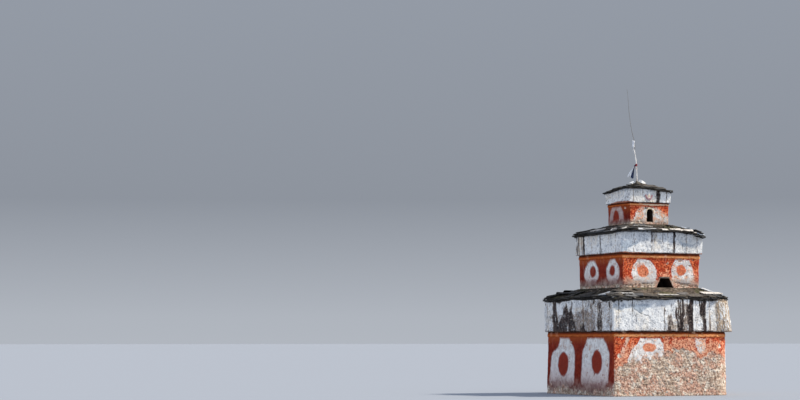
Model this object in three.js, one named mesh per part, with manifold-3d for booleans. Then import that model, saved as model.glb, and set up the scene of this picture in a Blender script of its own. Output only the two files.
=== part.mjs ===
// A three-tier village stupa of rubble masonry, plastered and painted, on a level footing.
// Each tier is a red wall, an ochre string course, a whitewashed frieze that overhangs it,
// a rim of projecting slates and a low earth roof, on which the next tier stands.
// A leaning pole with a thin wand stands in the top roof, wedged by stones.
// Millimetres, +Z up, origin on the ground at the middle of the base; the niches face -Y.

import * as THREE from "three";
import { mergeVertices } from "three/addons/utils/BufferGeometryUtils.js";
import Module from "manifold-3d";

// Driving dimensions. "Half" is half of a square's width, and radii run front right,
// back right, back left, front left. The base's front right corner is worn round.
const TIERS = [
  {
    name: "base", footHalf: 1830, wallHalf: 1800, friezeHalf: 1870, eaveHalf: 1940,
    wallHigh: 1530, courseHigh: 140, friezeHigh: 840, slateHigh: 60, roofRise: 285,
    slateTail: 520,
    wallRadii: [620, 60, 60, 45], friezeRadii: [500, 90, 90, 60], rimRadii: [900, 120, 120, 70],
  },
  {
    name: "middle", footHalf: 1165, wallHalf: 1165, friezeHalf: 1240, eaveHalf: 1335,
    wallHigh: 735, courseHigh: 130, friezeHigh: 515, slateHigh: 50, roofRise: 230,
    slateTail: 420,
    wallRadii: [40, 40, 40, 40], friezeRadii: [60, 60, 60, 50], rimRadii: [80, 80, 80, 60],
  },
  {
    name: "top", footHalf: 585, wallHalf: 585, friezeHalf: 645, eaveHalf: 715,
    wallHigh: 500, courseHigh: 75, friezeHigh: 305, slateHigh: 40, roofRise: 205,
    slateTail: 300,
    wallRadii: [30, 30, 30, 30], friezeRadii: [40, 40, 40, 40], rimRadii: [50, 50, 50, 50],
  },
];
const COURSE_PROUD = 20;
const ROOF_SETBACK = 85;
const ROOF_LEDGE = 35;
const APEX = { half: 110, radii: [40, 40, 40, 40] };
const CORNER_STEPS = 6;

const SLATE_WIDTHS = [300, 640];
const SLATE_LAP = 4;
const LOWER_SLATES_BACK = 45;
const RAGGED = 34;
const JOINT = 2;
const SEAT_GAP = 0.3;

const HIP_SLATES = {
  base: { long: 690, wide: 330, thick: 42 },
  middle: { long: 640, wide: 270, thick: 36 },
};
const HIP_OUTLINE = [
  [-0.5, -0.36], [-0.3, -0.5], [0.42, -0.46], [0.5, -0.1], [0.46, 0.42], [-0.34, 0.5], [-0.5, 0.3],
];
const HIP_CHIPS = [0.08, 0.16];
const HIP_SHARE = 0.86;
const HIP_SINK = 14;

const NICHES = {
  middle: { x: 110, sill: 0, footWide: 480, headWide: 350, high: 270, archRise: 0, deep: 480 },
  top: { x: 16, sill: 60, footWide: 196, headWide: 196, high: 340, archRise: 69, deep: 330 },
};
const NICHE_OVERCUT = 50;
const LINTEL = { over: 90, high: 46, deep: 300, proud: 8, aboveArch: 14 };

const POLE = { planted: 170, top: 6780, footRadius: 27, headRadius: 18, sides: 12 };
const POLE_LINE = [
  [3, -2], [-3, 2], [-11, 6], [-19, 11], [-27, 16], [-45, 27], [-66, 39], [-92, 54], [-90, 53],
];
const WAND = { foot: 6560, top: 8200, footRadius: 9, headRadius: 4, sides: 8 };
const WAND_LINE = [
  [-60, 36], [-67, 40], [-112, 66], [-144, 85], [-168, 99],
  [-188, 111], [-200, 118], [-212, 125], [-228, 135],
];
const BINDING = { at: [-86, 50], low: 6600, high: 6815, radius: 42 };
const TIE = { at: [-28, 16], low: 6117, high: 6163, radius: 35 };
const WRAP_LIP = 14;
const WRAP_SIDES = 16;

const PENNANT = {
  thick: 14,
  outline: [[30, 6118], [34, 6162], [255, 5985], [292, 5812], [172, 5786], [96, 5950]],
};
const DOWNWIND = Math.PI * (1 - 30 / 180);

const STONE_ROUGHNESS = [0.86, 0.2];
const WEDGE_STONES = [
  { side: "right", at: [108, -58, 5688], size: [122, 72, 46], turn: [0.1, 0.55, -0.5], white: true },
  { side: "left", at: [-128, 70, 5668], size: [84, 62, 40], turn: [0.2, -0.35, 2.6], white: true },
  { side: "front", at: [-52, -118, 5660], size: [96, 58, 36], turn: [0.5, 0, 0.4], white: false },
  { side: "back", at: [60, 124, 5662], size: [100, 64, 40], turn: [-0.5, 0, 0.7], white: false },
];

const materials = {
  red: new THREE.MeshStandardMaterial({ color: 0x8c2f1d, roughness: 0.92 }),
  ochre: new THREE.MeshStandardMaterial({ color: 0xb8641e, roughness: 0.9 }),
  white: new THREE.MeshStandardMaterial({ color: 0xd9d8d2, roughness: 0.9 }),
  slate: new THREE.MeshStandardMaterial({ color: 0x7d766e, roughness: 0.85 }),
  earth: new THREE.MeshStandardMaterial({ color: 0x6e6253, roughness: 0.97 }),
  limewashed: new THREE.MeshStandardMaterial({ color: 0xe4e2dc, roughness: 0.88 }),
  wood: new THREE.MeshStandardMaterial({ color: 0xb7aa97, roughness: 0.8 }),
  cloth: new THREE.MeshStandardMaterial({ color: 0xdcdde2, roughness: 0.85 }),
};

const wasm = await Module();
wasm.setup();

// Joining and cutting

function solidOf(geometry) {
  const bare = geometry.index ? geometry.toNonIndexed() : geometry.clone();
  bare.deleteAttribute("normal");
  bare.deleteAttribute("uv");
  const merged = mergeVertices(bare, 1e-3);
  return new wasm.Manifold(new wasm.Mesh({
    numProp: 3,
    vertProperties: merged.attributes.position.array,
    triVerts: new Uint32Array(merged.index.array),
  }));
}

function geometryOf(solid) {
  const { vertProperties, triVerts } = solid.getMesh();
  const geometry = new THREE.BufferGeometry();
  geometry.setAttribute("position", new THREE.BufferAttribute(new Float32Array(vertProperties), 3));
  geometry.setIndex(new THREE.BufferAttribute(new Uint32Array(triVerts), 1));
  geometry.computeVertexNormals();
  return geometry;
}

function meshOf(name, shape, material) {
  const geometry = shape.isBufferGeometry ? shape : geometryOf(shape);
  const mesh = new THREE.Mesh(geometry, material);
  mesh.name = name;
  return mesh;
}

function shapeOf(pairs) {
  return new THREE.Shape(pairs.map(([x, y]) => new THREE.Vector2(x, y)));
}

function extrude(shape, depth) {
  return new THREE.ExtrudeGeometry(shape, { depth, bevelEnabled: false });
}

// Repeatable numbers from 0 to 1, for what a mason lays unevenly.
function dice(seed) {
  let state = seed;
  return () => {
    state = (state + 0x6d2b79f5) | 0;
    let mixed = Math.imul(state ^ (state >>> 15), 1 | state);
    mixed = (mixed + Math.imul(mixed ^ (mixed >>> 7), 61 | mixed)) ^ mixed;
    return ((mixed ^ (mixed >>> 14)) >>> 0) / 4294967296;
  };
}

// Masonry blocks

// The outline of a square with rounded corners, as points that run anticlockwise.
function roundedSquare(half, radii) {
  return radii.flatMap((radius, corner) => {
    const start = (corner - 1) * Math.PI / 2;
    const x = Math.sign(Math.cos(start + Math.PI / 4)) * (half - radius);
    const y = Math.sign(Math.sin(start + Math.PI / 4)) * (half - radius);
    return Array.from({ length: CORNER_STEPS + 1 }, (_, step) => {
      const angle = start + (Math.PI / 2) * (step / CORNER_STEPS);
      return [x + radius * Math.cos(angle), y + radius * Math.sin(angle)];
    });
  });
}

// A block of masonry whose foot is one rounded square and whose head is another.
function block(foot, head) {
  const below = roundedSquare(foot.half, foot.radii);
  const above = roundedSquare(head.half, head.radii);
  const count = below.length;
  const points = [...below.map(([x, y]) => [x, y, foot.z]), ...above.map(([x, y]) => [x, y, head.z])];
  const faces = [];
  for (let i = 0; i < count; i++) {
    const next = (i + 1) % count;
    faces.push(i, next, count + next, i, count + next, count + i);
  }
  for (let i = 1; i < count - 1; i++) {
    faces.push(0, i + 1, i, count, count + i, count + i + 1);
  }
  const geometry = new THREE.BufferGeometry();
  geometry.setAttribute("position", new THREE.Float32BufferAttribute(points.flat(), 3));
  geometry.setIndex(faces);
  geometry.computeVertexNormals();
  return geometry;
}

function box(x, y, z) {
  const [wide, deep, high] = [x[1] - x[0], y[1] - y[0], z[1] - z[0]];
  const geometry = new THREE.BoxGeometry(wide, deep, high);
  return geometry.translate(x[0] + wide / 2, y[0] + deep / 2, z[0] + high / 2);
}

// The levels that a tier's own heights give, from the height of its foot.
function levelsOf(tier, foot) {
  const course = foot + tier.wallHigh;
  const frieze = course + tier.courseHigh;
  const slates = frieze + tier.friezeHigh;
  const roof = slates + tier.slateHigh;
  return { foot, course, frieze, slates, roof, top: roof + tier.roofRise };
}

function wall(tier, levels) {
  return block(
    { half: tier.footHalf, radii: tier.wallRadii, z: levels.foot },
    { half: tier.wallHalf, radii: tier.wallRadii, z: levels.course },
  );
}

function stringCourse(tier, levels) {
  const half = tier.wallHalf + COURSE_PROUD;
  return block(
    { half, radii: tier.wallRadii, z: levels.course },
    { half, radii: tier.wallRadii, z: levels.frieze },
  );
}

// The frieze overhangs the wall, and its core rises between the tails of the slates.
function frieze(tier, levels) {
  const body = block(
    { half: tier.friezeHalf, radii: tier.friezeRadii, z: levels.frieze },
    { half: tier.friezeHalf, radii: tier.rimRadii, z: levels.slates },
  );
  const half = tier.eaveHalf - tier.slateTail - JOINT;
  const core = box([-half, half], [-half, half], [levels.slates - tier.slateHigh, levels.roof]);
  return solidOf(body).add(solidOf(core));
}

// The foot and head of a tier's roof; the next tier, or the pole's small bed, stands on its head.
function roofEnds(tier, levels, next) {
  const head = next ? { half: next.footHalf + ROOF_LEDGE, radii: next.wallRadii } : APEX;
  return [
    { half: tier.eaveHalf - ROOF_SETBACK, radii: tier.rimRadii, z: levels.roof },
    { ...head, z: levels.top },
  ];
}

// Slates

// One layer of slates along the front; each slate reaches out a little differently.
function slateLayer(tier, run, reach, random) {
  const tail = -(tier.eaveHalf - tier.slateTail);
  const outline = [[run, tail], [-run, tail]];
  const [narrowest, widest] = SLATE_WIDTHS;
  let x = -run;
  let ragged = 0;
  while (x < run) {
    const wide = narrowest + (widest - narrowest) * random();
    const last = run - (x + wide) < narrowest;
    const end = last ? run : x + wide;
    outline.push([x, -(reach - ragged * random())]);
    outline.push([last ? end : end - JOINT, -(reach - ragged * random())]);
    ragged = RAGGED;
    x = end;
  }
  return shapeOf(outline);
}

// Two layers of slates on one side of a tier, made at the front; each next side is a quarter turn on.
function eave(tier, levels, side) {
  const random = dice(tier.eaveHalf + side);
  const run = side % 2 === 0 ? tier.eaveHalf : tier.eaveHalf - tier.slateTail - JOINT;
  const half = tier.slateHigh / 2;
  const layers = [
    { reach: tier.eaveHalf - LOWER_SLATES_BACK, low: levels.slates, thick: half + SLATE_LAP },
    { reach: tier.eaveHalf, low: levels.slates + half, thick: half },
  ].map(({ reach, low, thick }) => {
    const layer = extrude(slateLayer(tier, run, reach, random), thick);
    return solidOf(layer.translate(0, 0, low));
  });
  const rim = { half: tier.eaveHalf, radii: tier.rimRadii };
  const limit = block({ ...rim, z: levels.slates - 1 }, { ...rim, z: levels.roof + 1 });
  return layers[0].add(layers[1]).intersect(solidOf(limit).rotate([0, 0, -90 * side]));
}

// How far a rounded corner lies from the middle, along the diagonal.
function cornerReach({ half, radii }, corner) {
  return Math.SQRT2 * half - (Math.SQRT2 - 1) * radii[corner];
}

// A long slate bedded down the hip of a roof; corner 0 is the front right one.
function hipSlate(tier, [foot, head], roofSolid, corner) {
  const { long, wide, thick } = HIP_SLATES[tier.name];
  const random = dice(7 * tier.eaveHalf + corner);
  const [outer, inner] = [cornerReach(foot, corner), cornerReach(head, corner)];
  const hip = Math.hypot(outer - inner, tier.roofRise);
  const length = Math.min(long, HIP_SHARE * hip);
  const outline = HIP_OUTLINE.map(([along, across]) => [
    along * length * (1 - HIP_CHIPS[0] * random()),
    across * wide * (1 - HIP_CHIPS[1] * random()),
  ]);
  const angle = (corner - 0.5) * Math.PI / 2;
  const middle = (outer + inner) / 2;
  const place = new THREE.Object3D();
  place.rotation.set(0, Math.atan2(tier.roofRise, outer - inner), angle, "ZYX");
  place.position.set(
    middle * Math.cos(angle),
    middle * Math.sin(angle),
    head.z - tier.roofRise / 2 - HIP_SINK,
  );
  place.updateMatrix();
  const slate = extrude(shapeOf(outline), thick).applyMatrix4(place.matrix);
  return solidOf(slate).subtract(roofSolid.translate([0, 0, SEAT_GAP]));
}

// Niches

// The hollow of a niche in the front wall, with a flat head or a low arch over it.
function nicheHollow(niche, tier, foot) {
  const { x, sill, footWide, headWide, high, archRise, deep } = niche;
  const spring = high - archRise;
  const outline = [[-footWide / 2, sill ? 0 : -1], [footWide / 2, sill ? 0 : -1], [headWide / 2, spring]];
  for (let step = 1; archRise && step < CORNER_STEPS; step++) {
    const angle = Math.PI * (step / CORNER_STEPS);
    outline.push([headWide / 2 * Math.cos(angle), spring + archRise * Math.sin(angle)]);
  }
  outline.push([-headWide / 2, spring]);
  const hollow = extrude(shapeOf(outline), deep + NICHE_OVERCUT).rotateX(Math.PI / 2);
  return hollow.translate(x, deep - tier.wallHalf, foot + sill);
}

function lintel(niche, tier, foot) {
  const reach = niche.headWide / 2 + LINTEL.over;
  const low = foot + niche.sill + niche.high + (niche.archRise ? LINTEL.aboveArch : 0);
  return box(
    [niche.x - reach, niche.x + reach],
    [-tier.wallHalf - LINTEL.proud, -tier.wallHalf + LINTEL.deep],
    [low, low + LINTEL.high],
  );
}

// Pole, wand and stones

// A tapered stick whose middle line runs evenly through the given x, y points.
function stick(line, { low, top, footRadius, headRadius, sides }, swell = 0) {
  const steps = 3 * (line.length - 1);
  const middle = new THREE.CatmullRomCurve3(line.map(([x, y]) => new THREE.Vector3(x, y, 0)));
  const radii = [headRadius + swell, footRadius + swell];
  const geometry = new THREE.CylinderGeometry(...radii, top - low, sides, steps);
  geometry.rotateX(Math.PI / 2).translate(0, 0, (low + top) / 2);
  const position = geometry.getAttribute("position");
  for (let i = 0; i < position.count; i++) {
    const { x, y } = middle.getPoint((position.getZ(i) - low) / (top - low));
    position.setXY(i, position.getX(i) + x, position.getY(i) + y);
  }
  return geometry;
}

// Cloth wound round what it ties.
function wrap({ at, low, high, radius }, swell = 0) {
  const [foot, head] = [low - swell, high + swell];
  const profile = [
    [0, foot], [0.72, foot], [1, foot + WRAP_LIP], [0.9, (foot + head) / 2],
    [0.98, head - WRAP_LIP], [0.6, head], [0, head],
  ].map(([share, z]) => new THREE.Vector2(share * (radius + swell), z));
  return new THREE.LatheGeometry(profile, WRAP_SIDES).rotateX(Math.PI / 2).translate(...at, 0);
}

function pennant() {
  const cloth = extrude(shapeOf(PENNANT.outline), PENNANT.thick);
  cloth.translate(0, 0, -PENNANT.thick / 2).rotateX(Math.PI / 2).rotateZ(DOWNWIND);
  return cloth.translate(...TIE.at, 0);
}

// A rough stone: a ball with its points moved a little, squashed to a size.
function stone({ at, size, turn }, seed) {
  const random = dice(seed);
  const ball = new THREE.IcosahedronGeometry(1, 1);
  ball.deleteAttribute("normal");
  ball.deleteAttribute("uv");
  const rough = mergeVertices(ball, 1e-4);
  const position = rough.getAttribute("position");
  const [least, spread] = STONE_ROUGHNESS;
  for (let i = 0; i < position.count; i++) {
    const out = least + spread * random();
    position.setXYZ(i, position.getX(i) * out, position.getY(i) * out, position.getZ(i) * out);
  }
  const place = new THREE.Object3D();
  place.position.set(...at);
  place.rotation.set(...turn);
  place.scale.set(...size);
  place.updateMatrix();
  return rough.applyMatrix4(place.matrix);
}

// Building

function tierGroup(tier, levels, next) {
  const group = new THREE.Group();
  const add = (part, shape, material) => {
    const mesh = meshOf(`${tier.name}_${part}`, shape, material);
    group.add(mesh);
    return mesh;
  };

  let wallSolid = solidOf(wall(tier, levels));
  const niche = NICHES[tier.name];
  if (niche) {
    const slab = lintel(niche, tier, levels.foot);
    wallSolid = wallSolid.subtract(solidOf(nicheHollow(niche, tier, levels.foot))).subtract(solidOf(slab));
    add("niche_lintel", slab, materials.slate);
  }
  add("wall", wallSolid, materials.red);
  add("string_course", stringCourse(tier, levels), materials.ochre);
  add("frieze", frieze(tier, levels), materials.white);
  ["front", "right", "back", "left"].forEach((side, turn) => {
    add(`slates_${side}`, eave(tier, levels, turn), materials.slate).rotation.z = turn * Math.PI / 2;
  });

  const ends = roofEnds(tier, levels, next);
  let roofSolid = solidOf(block(...ends));
  if (next) {
    ["front_right", "back_right", "back_left", "front_left"].forEach((side, corner) => {
      add(`hip_slate_${side}`, hipSlate(tier, ends, roofSolid, corner), materials.slate);
    });
  } else {
    roofSolid = roofSolid.subtract(solidOf(stick(POLE_LINE, polePlan(levels), SEAT_GAP)));
  }
  add("roof", roofSolid, materials.earth);
  return { group, roofSolid };
}

function polePlan(levels) {
  return { ...POLE, low: levels.top - POLE.planted };
}

function finialGroup(levels, roofSolid) {
  const group = new THREE.Group();
  const plan = polePlan(levels);
  const wandPlan = { ...WAND, low: WAND.foot };
  const roundPole = solidOf(stick(POLE_LINE, plan, SEAT_GAP));
  const roundWand = solidOf(stick(WAND_LINE, wandPlan, SEAT_GAP));
  const wand = solidOf(stick(WAND_LINE, wandPlan)).subtract(roundPole);
  group.add(meshOf("pole", stick(POLE_LINE, plan), materials.wood));
  group.add(meshOf("wand", wand, materials.wood));

  const binding = solidOf(wrap(BINDING)).subtract(roundPole).subtract(roundWand);
  const tie = solidOf(wrap(TIE)).subtract(roundPole);
  const flag = solidOf(pennant()).subtract(solidOf(wrap(TIE, SEAT_GAP)));
  group.add(meshOf("wand_binding", binding, materials.cloth));
  group.add(meshOf("pennant_tie", tie, materials.cloth));
  group.add(meshOf("pennant", flag, materials.cloth));

  const bed = roofSolid.translate([0, 0, SEAT_GAP]).add(roundPole);
  WEDGE_STONES.forEach((wedge, index) => {
    const shape = solidOf(stone(wedge, 31 + index)).subtract(bed);
    const material = wedge.white ? materials.limewashed : materials.slate;
    group.add(meshOf(`wedge_stone_${wedge.side}`, shape, material));
  });
  return group;
}

const stupa = new THREE.Group();
let foot = 0;

TIERS.forEach((tier, index) => {
  const next = TIERS[index + 1];
  const levels = levelsOf(tier, foot);
  const { group, roofSolid } = tierGroup(tier, levels, next);
  stupa.add(group);
  if (!next) {
    stupa.add(finialGroup(levels, roofSolid));
  }
  foot = levels.top;
});

export default stupa;
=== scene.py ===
import math

import bpy
import numpy as np
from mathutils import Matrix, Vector


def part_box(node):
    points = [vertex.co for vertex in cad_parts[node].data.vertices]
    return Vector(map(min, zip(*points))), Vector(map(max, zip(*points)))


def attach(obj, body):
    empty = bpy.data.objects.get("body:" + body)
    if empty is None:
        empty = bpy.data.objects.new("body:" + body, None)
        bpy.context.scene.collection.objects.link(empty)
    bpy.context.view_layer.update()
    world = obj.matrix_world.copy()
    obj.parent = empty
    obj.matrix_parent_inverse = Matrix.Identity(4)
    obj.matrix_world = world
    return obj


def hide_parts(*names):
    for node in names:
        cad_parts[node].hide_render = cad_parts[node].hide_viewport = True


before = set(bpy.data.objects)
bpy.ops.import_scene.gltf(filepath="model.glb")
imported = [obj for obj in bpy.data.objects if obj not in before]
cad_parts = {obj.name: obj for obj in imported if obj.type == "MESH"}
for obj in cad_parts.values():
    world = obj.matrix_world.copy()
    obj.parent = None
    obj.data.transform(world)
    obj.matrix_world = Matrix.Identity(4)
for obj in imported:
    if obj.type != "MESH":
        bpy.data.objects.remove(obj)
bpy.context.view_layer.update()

# Everything is in metres, in the frame of the CAD model: +Z up, -Y the front, +X to the right.
# Sides are numbered round the stupa: 0 front, 1 right, 2 back, 3 left. On each side the face coordinate u
# runs to the right for someone who looks at that side, from 0 at its middle.
ALONG = np.array([[1, 0], [0, 1], [-1, 0], [0, -1]], float)
OUT = np.array([[0, -1], [1, 0], [0, 1], [-1, 0]], float)
SIDES = ("front", "right", "back", "left")
FRONT, RIGHT, BACK, LEFT = range(4)


def foot(node):
    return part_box(node)[0].z


def head(node):
    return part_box(node)[1].z


# Half widths and corner radii; radii go front right, back right, back left, front left.
TIERS = {
    "base": dict(
        foot_half=1.83, wall_half=1.80, frieze_half=1.87, eave_half=1.94, next_half=1.165,
        wall_radii=(0.62, 0.05, 0.05, 0.045), frieze_radii=(0.32, 0.03, 0.03, 0.03),
        head_radii=(0.62, 0.03, 0.03, 0.03), rim_radii=(0.80, 0.12, 0.12, 0.07), next_radii=(0.04,) * 4,
        bed_drop=0.040, course_out=0.022, head_out=0.008, batter=0.010, faint=0.0, wall_step=0.022,
        frieze_step=0.016, relief=1.0, slate_thick=0.026, slate_wide=(0.26, 0.62), slate_deep=0.50,
    ),
    "middle": dict(
        foot_half=1.165, wall_half=1.165, frieze_half=1.24, eave_half=1.335, next_half=0.585,
        wall_radii=(0.03,) * 4, frieze_radii=(0.02,) * 4, head_radii=(0.02,) * 4,
        rim_radii=(0.08, 0.08, 0.08, 0.06), next_radii=(0.03,) * 4, bed_drop=0.0, course_out=0.030,
        head_out=0.012, batter=0.008, faint=0.0, wall_step=0.016, frieze_step=0.014, relief=0.85,
        slate_thick=0.021, slate_wide=(0.22, 0.60), slate_deep=0.40,
    ),
    "top": dict(
        foot_half=0.585, wall_half=0.585, frieze_half=0.645, eave_half=0.715, next_half=0.075,
        wall_radii=(0.02,) * 4, frieze_radii=(0.015,) * 4, head_radii=(0.015,) * 4, rim_radii=(0.05,) * 4,
        next_radii=(0.04,) * 4, bed_drop=0.0, course_out=0.022, head_out=0.006, batter=0.006, faint=1.0,
        wall_step=0.012, frieze_step=0.011, relief=0.6, slate_thick=0.017, slate_wide=(0.16, 0.42),
        slate_deep=0.28,
    ),
}
for name, tier in TIERS.items():
    tier.update(
        name=name, wall_foot=foot(f"{name}_wall"), wall_head=head(f"{name}_wall"),
        course_head=head(f"{name}_string_course"), frieze_head=foot(f"{name}_slates_front"),
        slate_head=head(f"{name}_slates_front"), roof_head=head(f"{name}_roof"),
    )


# Camera: the photograph's place, direction and lens, fitted to the corners of the three tiers.
CAMERA_PLACE, CAMERA_TOWARDS = (-27.473, -46.485, 1.434), (0.40229, 0.91283, 0.07001)
LENS_MM, SENSOR_MM, FARTHEST = 90, 36, 900


def facing(direction):
    """The turn that makes a camera or a light look in a direction."""
    return Vector(direction).to_track_quat("-Z", "Y").to_euler()


def make_camera():
    data = bpy.data.cameras.new("camera")
    data.lens, data.sensor_width, data.clip_end = LENS_MM, SENSOR_MM, FARTHEST
    camera = bpy.data.objects.new("camera", data)
    camera.location = CAMERA_PLACE
    camera.rotation_euler = facing(CAMERA_TOWARDS)
    bpy.context.scene.collection.objects.link(camera)
    bpy.context.scene.camera = camera


make_camera()


# Noise: numbers from about -1 to 1 that change smoothly over a given size. Large primes mix the number of
# each cell, and shifts mix it again.
WORD = np.uint64(0xFFFFFFFF)
AXIS_PRIMES = [np.uint64(prime) for prime in (73856093, 19349663, 83492791)]
SEED_PRIME, MIXES = 2654435761, ((15, 2246822519), (13, 3266489917))


def scatter(cells, seed):
    """A number from -1 to 1 for each cell, without any order to it."""
    x, y, z = (cells[:, axis] * prime for axis, prime in enumerate(AXIS_PRIMES))
    h = (x ^ y ^ z ^ np.uint64(seed * SEED_PRIME % 2 ** 32)) & WORD
    for shift, factor in MIXES:
        h = ((h ^ (h >> np.uint64(shift))) * np.uint64(factor)) & WORD
    return (h ^ (h >> np.uint64(16))) / 2.0 ** 31 - 1


def noise(points, size, seed, octaves=1):
    """Smooth noise, with an octave of half the size and half the amount after each other."""
    total, amount, shift = np.zeros(len(points)), 1.0, 31.7
    size = np.broadcast_to(np.asarray(size, float), 3)
    for octave in range(octaves):
        at = points / size + shift * (octave + 1)
        low = np.floor(at)
        part = at - low
        part = part * part * (3 - 2 * part)
        low = low.astype(np.int64).astype(np.uint64)
        for corner in range(8):
            step = np.array([corner & 1, corner >> 1 & 1, corner >> 2], np.uint64)
            weight = np.prod(np.where(step == 1, part, 1 - part), axis=1)
            total += amount * weight * scatter(low + step, seed + octave)
        size, amount = size / 2, amount / 2
    return total


def smooth(low, high, x):
    """0 below low and 1 above high, or the other way round where low is the larger."""
    t = np.clip((np.asarray(x, float) - low) / (high - low), 0, 1)
    return t * t * (3 - 2 * t)


def between(a, b, share):
    """The value a share of the way from a to b."""
    return a + (b - a) * share


# Meshes, made from rings of points.
class Form:
    """Gathers points, faces and, for each paint field, one number a point."""

    def __init__(self):
        self.points, self.faces, self.fields, self.count = [], [], {}, 0

    def add(self, points, faces, **fields):
        points = np.asarray(points, float)
        for part in faces:
            self.faces += (np.asarray(part, int) + self.count).tolist()
        for key in set(fields) | set(self.fields):
            rows = self.fields.setdefault(key, [np.zeros(self.count)] if self.count else [])
            value = fields.get(key, 0.0)
            rows.append(np.broadcast_to(np.asarray(value, float), len(points)))
        self.points.append(points)
        self.count += len(points)

    def build(self, name, sharp=None):
        mesh = bpy.data.meshes.new(name)
        mesh.from_pydata(np.concatenate(self.points).tolist(), [], self.faces)
        mesh.update()
        mesh.shade_smooth()
        if sharp:
            mesh.set_sharp_from_angle(angle=math.radians(sharp))
        piece = bpy.data.objects.new(name, mesh)
        bpy.context.scene.collection.objects.link(piece)
        write_fields(piece, {key: np.concatenate(rows) for key, rows in self.fields.items()})
        return piece


def write_fields(piece, fields):
    for key, values in fields.items():
        layer = piece.data.attributes.get(key) or piece.data.attributes.new(key, "FLOAT", "POINT")
        layer.data.foreach_set("value", np.asarray(values, np.float32))


def read_points(piece):
    flat = np.empty(len(piece.data.vertices) * 3)
    piece.data.vertices.foreach_get("co", flat)
    return flat.reshape(-1, 3)


def settle(piece, slot, material, *nodes):
    """The piece rides on the one body, takes its material, and stands for the CAD nodes named; the slot is
    not used.
    """
    piece.data.materials.clear()
    piece.data.materials.append(material)
    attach(piece, "root")
    if nodes:
        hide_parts(*nodes)
    return piece


def outline(half, radii, straights, arcs):
    """Points and outward directions round a rounded square, starting at the left end of the front."""
    points, outs = [], []
    for k in range(4):
        before, after = radii[k - 1], radii[k]
        s = np.linspace(-half + before, half - after, straights[k], endpoint=False)
        turn = np.linspace(0, math.pi / 2, arcs[k], endpoint=False)
        u = np.concatenate([s, half - after + after * np.sin(turn)])
        v = np.concatenate([np.full(len(s), half), half - after + after * np.cos(turn)])
        side = np.concatenate([np.zeros(len(s)), np.sin(turn)])
        away = np.concatenate([np.ones(len(s)), np.cos(turn)])
        points.append(u[:, None] * ALONG[k] + v[:, None] * OUT[k])
        outs.append(side[:, None] * ALONG[k] + away[:, None] * OUT[k])
    return np.concatenate(points), np.concatenate(outs)


def columns(half, radii, step):
    """How many points a rounded square has on each side and round each corner."""
    straights = [max(2, round((2 * half - radii[k - 1] - radii[k]) / step)) for k in range(4)]
    arcs = [max(4, round(radii[k] * math.pi / 2 / step)) for k in range(4)]
    return straights, arcs


def radii_between(a, b, share):
    """Corner radii a share of the way from some to others."""
    return tuple(between(r, q, share) for r, q in zip(a, b))


def widest(a, b):
    return tuple(map(max, a, b))


def stack(rows, step, radii_for_count):
    """A stack of rounded squares: rows are (height, half width, radii). Gives points and outward
    directions, row by row."""
    straights, arcs = columns(rows[0][1], radii_for_count, step)
    points, outs = [], []
    for height, half, radii in rows:
        p, o = outline(half, radii, straights, arcs)
        points.append(np.column_stack([p, np.full(len(p), height)]))
        outs.append(o)
    return np.array(points), np.array(outs)


def ring_faces(rows, across):
    """The faces between rings that lie one after another."""
    i, j = np.meshgrid(np.arange(rows - 1), np.arange(across), indexing="ij")
    a, b = i * across + j, i * across + (j + 1) % across
    return np.stack([a, b, b + across, a + across], -1).reshape(-1, 4)


def skin_faces(rows, around):
    """The faces of a stack of rings, closed with fans round the two points that come after them, the lower
    one first."""
    j, low, last = np.arange(around), rows * around, (rows - 1) * around
    below = np.stack([np.full(around, low), (j + 1) % around, j], -1)
    above = np.stack([np.full(around, low + 1), last + j, last + (j + 1) % around], -1)
    return [ring_faces(rows, around), below, above]


def add_stack(form, points, **fields):
    """Adds a stack's walls and closes it below and above."""
    rows, around = points.shape[:2]
    ends = [[0, 0, points[0, :, 2].mean()], [0, 0, points[-1, :, 2].mean()]]
    form.add(np.concatenate([points.reshape(-1, 3), ends]), skin_faces(rows, around), **fields)


def face_place(points):
    """The side each point is on, and its face coordinate."""
    away = points[:, :2] @ OUT.T
    side = np.argmax(away, axis=1)
    return side, np.einsum("ij,ij->i", points[:, :2], ALONG[side])


# Painted ornament, as outlines of (u, height).
def rounded(corners, times=2):
    """An outline with its corners cut, and cut again."""
    p = np.asarray(corners, float)
    for _ in range(times):
        q = np.roll(p, -1, axis=0)
        p = np.stack([0.75 * p + 0.25 * q, 0.25 * p + 0.75 * q], 1).reshape(-1, 2)
    return p


def egg(u, z, half_u, half_z, point=0.0):
    """An oval that may be drawn out to a point below."""
    t = np.linspace(0, 2 * math.pi, 40, endpoint=False)
    low = np.clip(-np.sin(t), 0, 1)
    return np.column_stack([u + half_u * np.cos(t) * (1 - point * low ** 2), z + half_z * np.sin(t)])


def inside(u, z, shape):
    """How far inside an outline each point is, in metres; outside it is below 0."""
    a, b = np.asarray(shape), np.roll(shape, -1, axis=0)
    least, crossings = np.full(len(u), 1e9), np.zeros(len(u), int)
    for (ax, az), (bx, bz) in zip(a, b):
        dx, dz = bx - ax, bz - az
        t = np.clip(((u - ax) * dx + (z - az) * dz) / max(dx * dx + dz * dz, 1e-12), 0, 1)
        least = np.minimum(least, np.hypot(u - ax - t * dx, z - az - t * dz))
        if abs(dz) > 1e-12:
            crossings += ((az > z) != (bz > z)) & (u < ax + (z - az) * dx / dz)
    return np.where(crossings % 2 == 1, least, -least)


def mirrored(shape):
    """An outline as seen on the far side."""
    return np.asarray(shape)[::-1] * [-1, 1]


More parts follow.
